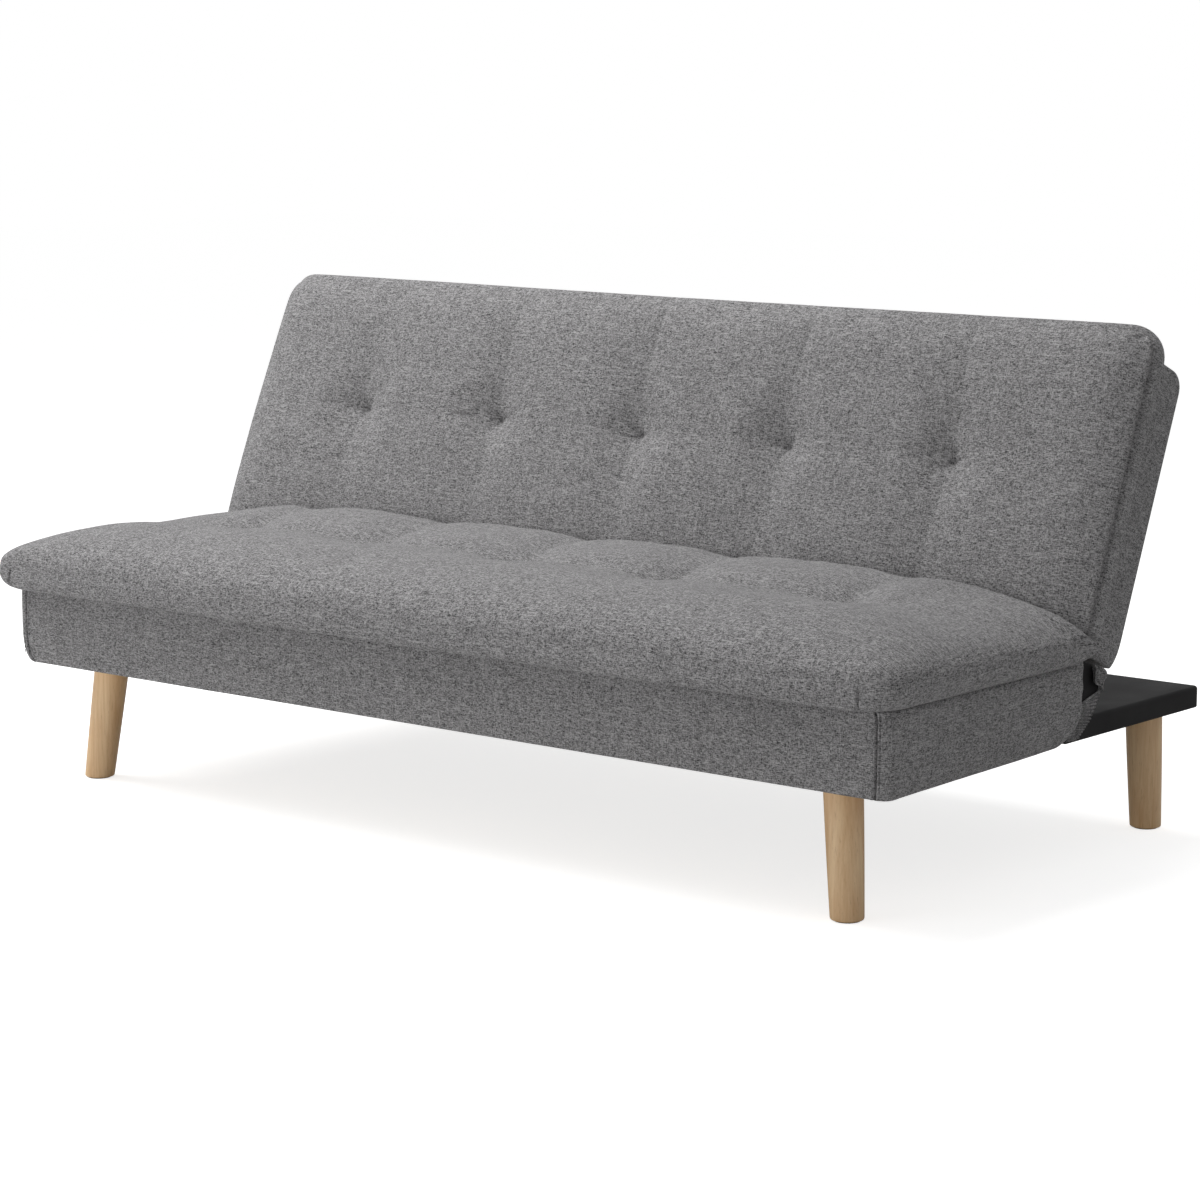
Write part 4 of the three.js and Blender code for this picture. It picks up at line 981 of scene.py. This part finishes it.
def sheet_of(inner, outer, grid, relief):
    """Points and faces of a sheet of cloth between two edges, drawn in the side view.

    relief(a, b, height) is its x, at the shares a from the inner to the outer edge and b down them.
    """
    rows, columns = grid
    inner, outer = through(inner, rows), through(outer, rows)
    b = np.linspace(0, 1, rows)[:, None] + np.zeros((1, columns))
    a = np.linspace(0, 1, columns)[None, :] + np.zeros((rows, 1))
    place = inner[:, None] * (1 - a[..., None]) + outer[:, None] * a[..., None]
    points = np.stack([relief(a, b, place[..., 1]), place[..., 0], place[..., 1]], -1).reshape(-1, 3)
    index = np.arange(rows * columns).reshape(rows, columns)
    return points, grid_faces(index)[:, OTHER_WAY]


def add_hem(side):
    """The gathered elastic hem behind one side of the box.

    A loose ruffle over a pocket whose shade is painted with a sheet of black cloth, dense gathers below it, and the
    bound edge of the box beside it.
    """
    name = "right" if side > 0 else "left"

    def ruffle(a, b, z):
        lip = 4.6 * np.exp(-(a / 0.1) ** 2)
        folds = 3.4 * np.cos(2 * np.pi * (2.05 * a + 0.16 * np.sin(5 * b))) * (1 - 0.6 * b) * ease(a / 0.12)
        return 871 + lip + folds + 1.0 * np.sin(17 * b + 5 * a)

    def gather(a, b, z):
        forward = ease((70 - z) / 24) * 4.2
        ridge = np.sin(2 * np.pi * GATHERS * (b - 0.25 * a ** 0.8 + 0.02 * np.sin(9 * b)))
        size = (1.3 + 1.5 * a) * ease((b - 0.02) / 0.1) * (0.75 + 0.25 * np.sin(11 * b + 2))
        return 868.6 + forward * (0.55 + 0.45 * np.sin(np.pi * a)) + size * ridge + 0.9 * a

    def binding(a, b, z):
        return 870.5 + 4 * (1 - a) + 0.6 * np.sin(9 * b)

    box_edge = [(box_rear(z) - 4, z) for z in (58, 54, 49, 43, 37, 31, 25, 20, 14, 9)]
    strip_in = [(box_rear(z) - 5 - 6 * (z > 120), z) for z in (127, 114, 100, 90, 81, 74)]
    points, faces, count = [], [], 0
    for sheet in (sheet_of(RUFFLE_INNER, RUFFLE_OUTER, RUFFLE_GRID, ruffle),
                  sheet_of(box_edge, GATHER_OUTER, GATHER_GRID, gather),
                  sheet_of(strip_in, BINDING_OUTER, BINDING_GRID, binding)):
        points.append(sheet[0])
        faces.append(sheet[1] + count)
        count += len(sheet[0])
    ruffled, gathered = points[0].reshape(*RUFFLE_GRID, 3), points[1].reshape(*GATHER_GRID, 3)
    rims = [ruffled[:, 0], ruffled[:, -1], gathered[:, -1]]
    turned = 1 if side > 0 else -1

    def placed(found):
        return (found * [side, 1, 1]) * MM + [0, BOX_FRONT, box_low.z]

    piece = add_mesh(f"hinge_hem_linen_{name}", placed(np.concatenate(points)),
                     np.concatenate(faces)[:, ::turned].tolist(), hem_linen)
    give_thickness(piece, 0.0013)
    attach(piece, "base")
    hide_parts(f"hinge_hem_{name}")
    for number, rim in enumerate(rims, 1):
        edge = tube(f"hinge_hem_roll_{name}_{number}", placed(rim), 0.0013, 8, hem_linen)
        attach(edge, "base")

    # Painted shade of the pocket: a sheet of black cloth behind the ruffle stands in for the pocket's shadow
    pocket_shade_in = [(box_rear(z) - 5 - 14 * (z > 120), z) for z in (124.6, 100, 85, 70, 50, 32, 22, 14)]
    points, faces = sheet_of(pocket_shade_in, POCKET_SHADE_OUTER, POCKET_SHADE_GRID,
                             lambda a, b, z: 866.4 + 0.5 * np.sin(9 * b + 3 * a))
    pocket_shade = add_mesh(f"hinge_pocket_shade_{name}", placed(points), faces[:, ::turned].tolist(), black_cloth)
    give_thickness(pocket_shade, 0.0006)
    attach(pocket_shade, "base")


def give_thickness(piece, thickness, offset=0.0):
    solid = piece.modifiers.new("thickness", "SOLIDIFY")
    solid.thickness = thickness
    solid.offset = offset
    apply_modifiers(piece)


def tube(name, path, radius, sides, material):
    """A round cord along a path of points, closed at both ends."""
    path = np.asarray(path)
    along = np.gradient(path, axis=0)
    along /= np.linalg.norm(along, axis=1, keepdims=True)
    across = np.cross(along, np.array([1.0, 0.2, 0.1]))
    across /= np.linalg.norm(across, axis=1, keepdims=True)
    third = np.cross(along, across)
    angle = np.linspace(0, 2 * np.pi, sides, endpoint=False)
    ring = across[:, None] * np.cos(angle)[None, :, None] + third[:, None] * np.sin(angle)[None, :, None]
    taper = np.ones(len(path))
    taper[[0, -1]] = 0.5
    points = (path[:, None] + radius * taper[:, None, None] * ring).reshape(-1, 3)
    return add_mesh(name, points, ring_faces(len(path), sides), material)


def add_platform_cloth():
    """Black cloth pulled over the platform behind the box, with eased edges and a turned-in hem."""
    half, start, end = base_high.x / MM, 492.0, (base_high.y - BOX_FRONT) / MM
    height = (base_high.z - base_low.z) / MM
    edge, corner, levels = 5.0, 8.0, 60
    profile = []
    for s in np.linspace(0, np.pi / 2, 7):
        profile.append((edge * (1 - math.sin(s)), height - edge * (1 - math.cos(s))))
    profile += [(0.0, z) for z in np.linspace(height - edge, 4, 8)[1:]]
    for s in np.linspace(0, np.pi / 2, 5)[1:]:
        profile.append((3 * (1 - math.cos(s)), 4 - 3 * math.sin(s)))
    profile += [(4 + 8 * k, 1.0) for k in range(1, 5)]

    def path(inset):
        """From the front of the right side round the rear to the left side."""
        out, back, radius = half - inset, end - inset, max(1.0, corner - inset)
        steps = np.linspace(0, 1, 40)[:-1]
        right = np.stack([np.full(39, out), start + (back - radius - start) * steps], 1)
        angle = np.linspace(0, np.pi / 2, 13)
        turn = np.stack([out - radius + radius * np.cos(angle), back - radius + radius * np.sin(angle)], 1)
        across = np.stack([(out - radius) * np.linspace(1, 0, 50)[1:], np.full(49, back)], 1)
        rear = np.concatenate([right, turn, across])
        return np.concatenate([rear, (rear * [-1, 1])[-2::-1]])

    rows = np.array([np.column_stack([path(inset), np.full(len(path(inset)), z)]) for inset, z in profile])
    count = rows.shape[1]
    middle = count // 2
    index = np.arange(len(rows) * count).reshape(len(rows), count)
    faces = grid_faces(index)[:, OTHER_WAY].tolist()
    # The top panel: lines from one side to the other
    share = (np.arange(1, levels) / levels)[:, None, None]
    panel = rows[0, :middle] * (1 - share) + rows[0, middle + 1:][::-1] * share
    panel_index = index.size + np.arange((levels - 1) * middle).reshape(levels - 1, middle)
    table = np.concatenate([[np.arange(middle)], panel_index, [np.arange(count - 1, middle, -1)]])
    faces += grid_faces(table).tolist()
    faces += [[int(table[k, -1]), middle, int(table[k + 1, -1])] for k in range(levels)]
    points = np.concatenate([rows.reshape(-1, 3), panel.reshape(-1, 3)])
    # It sags a little between the rails
    x, y, z = points.T
    top = ease((z - height + edge + 1) / 4)
    inside = ease((half - 12 - np.abs(x)) / 60) * ease((end - 12 - y) / 50)
    points[:, 2] -= top * inside * (1.0 + 0.8 * drift(x, y, 240, 61))
    points = points * MM + [0, BOX_FRONT, base_low.z]
    piece = add_mesh("platform_cloth", points, faces, black_cloth)
    give_thickness(piece, 0.0018, -1.0)
    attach(piece, "base")
    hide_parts("base_cover")


def add_leg(end, side):
    """A turned, splayed leg: straight taper, eased foot, and wood grain along it."""
    node = f"leg_{end}_{side}"
    low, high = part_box(node)
    foot_radius, top_radius, eased = 24.5, 29.0, 3.2
    low, high = np.array(low) / MM, np.array(high) / MM
    outward_x = 1 if side == "right" else -1
    outward_y = -1 if end == "front" else 1
    foot = [high[0] - foot_radius if outward_x > 0 else low[0] + foot_radius,
            low[1] + foot_radius if outward_y < 0 else high[1] - foot_radius]
    top = [low[0] + top_radius if outward_x > 0 else high[0] - top_radius,
           high[1] - top_radius if outward_y < 0 else low[1] + top_radius]
    height = high[2] - low[2]
    profile = [(0, 0.0), (foot_radius - 9, 0.0), (foot_radius - eased, 0.0)]
    for s in np.linspace(0, np.pi / 2, 6)[1:]:
        profile.append((foot_radius - eased + eased * math.sin(s), eased * (1 - math.cos(s))))
    for share in np.linspace(0.04, 1, 26):
        swelling = 0.35 * math.sin(math.pi * share)
        profile.append((foot_radius + (top_radius - foot_radius) * share + swelling, height * share))
    profile += [(top_radius - 8, height), (0, height)]
    sides = 72
    angle = np.linspace(0, 2 * np.pi, sides, endpoint=False)
    points, rings = [], []
    for radius, z in profile:
        share = z / height
        centre = [foot[0] + (top[0] - foot[0]) * share, foot[1] + (top[1] - foot[1]) * share]
        if radius == 0:
            rings.append([len(points)] * sides)
            points.append([*centre, low[2] + z])
        else:
            rings.append(list(range(len(points), len(points) + sides)))
            points += [[centre[0] + radius * math.cos(t), centre[1] + radius * math.sin(t), low[2] + z]
                       for t in angle]
    faces = []
    for lower, upper in zip(rings, rings[1:]):
        for k in range(sides):
            ring = [lower[k], lower[(k + 1) % sides], upper[(k + 1) % sides], upper[k]]
            faces.append(list(dict.fromkeys(ring)))
    piece = add_mesh(f"turned_leg_{end}_{side}", np.array(points) * MM, faces, wood)
    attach(piece, "base")
    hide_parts(node)


def add_corner_stitches(side):
    """Thread stitches down both sides of the box's corner seam."""
    name = "right" if side > 0 else "left"
    points, faces = [], []
    length, radius, pitch = 5.0, 0.7, 7.4
    for offset in (-5.2, 5.2):
        for z in np.arange(14, 116, pitch):
            base = len(points)
            for share in (0, 0.12, 0.5, 0.88, 1):
                lift = 0.5 * math.sin(math.pi * share) - 0.25
                grow = radius * (0.4 if share in (0, 1) else 1)
                for k in range(6):
                    turn = k * math.pi / 3
                    points.append([side * (SEAM_X + offset + grow * math.cos(turn)),
                                   -lift - 0.6 + grow * math.sin(turn),
                                   z + length * share])
            faces += ring_faces(5, 6, base)
    points = np.array(points) * MM + [0, BOX_FRONT, box_low.z]
    piece = add_mesh(f"corner_stitches_{name}", points, faces, seam_thread)
    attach(piece, "base")


add_seat_cushion()
add_back_cushion()
add_box_cover()
add_back_cover()
add_platform_cloth()
for side in (1, -1):
    add_hem(side)
    add_corner_stitches(side)
for end in ("front", "rear"):
    for side in ("right", "left"):
        add_leg(end, side)

# ---------------------------------------------------------------------------------------------
# Floor, light and camera
# ---------------------------------------------------------------------------------------------


FLOOR_HALF = 14.0
FLOOR_GLOW = 0.745
SKY = 0.32


def add_stage():
    """A pale floor that keeps the sofa's shadow and reads as white to the camera."""
    m = Finish("studio_floor")
    seen = m.node("ShaderNodeLightPath", output=0)
    grit = m.noise(m.place(), 30, 2, 0.5)
    pale = m.node("ShaderNodeBsdfDiffuse", None, {
        "Color": m.blend(m.between(grit, 0.3, 0.7), (0.78, 0.78, 0.78), (0.80, 0.80, 0.80))})
    glow = m.node("ShaderNodeEmission", None, {"Color": (1, 1, 1, 1), "Strength": seen * FLOOR_GLOW})
    material = m.emit(m.node("ShaderNodeAddShader", None, {0: pale, 1: glow}))
    mesh = bpy.data.meshes.new("floor")
    corners = [(-FLOOR_HALF, -FLOOR_HALF, 0), (FLOOR_HALF, -FLOOR_HALF, 0),
               (FLOOR_HALF, FLOOR_HALF, 0), (-FLOOR_HALF, FLOOR_HALF, 0)]
    mesh.from_pydata(corners, [], [(0, 1, 2, 3)])
    mesh.materials.append(material)
    floor = bpy.data.objects.new("floor", mesh)
    bpy.context.scene.collection.objects.link(floor)


def add_world():
    """A plain sky that lights the sofa evenly, and is white where the camera or a reflection sees it."""
    world = bpy.data.worlds.new("studio")
    world.use_nodes = True
    bpy.context.scene.world = world
    tree = world.node_tree
    tree.nodes.clear()
    path = tree.nodes.new("ShaderNodeLightPath")
    seen = tree.nodes.new("ShaderNodeMath")
    seen.operation = "MAXIMUM"
    tree.links.new(path.outputs["Is Camera Ray"], seen.inputs[0])
    tree.links.new(path.outputs["Is Glossy Ray"], seen.inputs[1])
    mix = tree.nodes.new("ShaderNodeMixShader")
    tree.links.new(seen.outputs[0], mix.inputs[0])
    for slot, strength in enumerate((SKY, 1.0), 1):
        light = tree.nodes.new("ShaderNodeBackground")
        light.inputs["Color"].default_value = (1, 1, 1, 1)
        light.inputs["Strength"].default_value = strength
        tree.links.new(light.outputs[0], mix.inputs[slot])
    end = tree.nodes.new("ShaderNodeOutputWorld")
    tree.links.new(mix.outputs[0], end.inputs["Surface"])


def add_lamp(name, place, aim, size, power):
    """A soft box at a place, in metres and watts."""
    light = bpy.data.lights.new(name, "AREA")
    light.shape = "RECTANGLE"
    light.size, light.size_y = size
    light.energy = power
    lamp = bpy.data.objects.new(name, light)
    lamp.location = place
    lamp.rotation_euler = (Vector(aim) - Vector(place)).to_track_quat("-Z", "Y").to_euler()
    bpy.context.scene.collection.objects.link(lamp)


def add_camera():
    """The photograph's view: from the front right, a little above the back's top."""
    camera = bpy.data.cameras.new("camera")
    camera.sensor_width = 36
    camera.lens = 105.6
    camera.clip_end = 100
    holder = bpy.data.objects.new("camera", camera)
    holder.location = (3.5552, -4.2797, 1.2206)
    direction = Vector((-0.62777, 0.76233, -0.15734))
    holder.rotation_euler = direction.to_track_quat("-Z", "Y").to_euler()
    bpy.context.scene.collection.objects.link(holder)
    bpy.context.scene.camera = holder


add_stage()
add_world()
add_lamp("key", (-3.0, -0.9, 2.6), (0.0, 0.0, 0.4), (1.6, 1.6), 55)
add_lamp("top", (-0.3, 0.0, 3.2), (0.0, 0.0, 0.3), (2.6, 1.6), 44)
add_lamp("fill", (-1.6, -4.6, 0.9), (0.0, 0.0, 0.3), (2.6, 1.2), 35)
add_camera()
bpy.context.scene.view_settings.view_transform = "Standard"
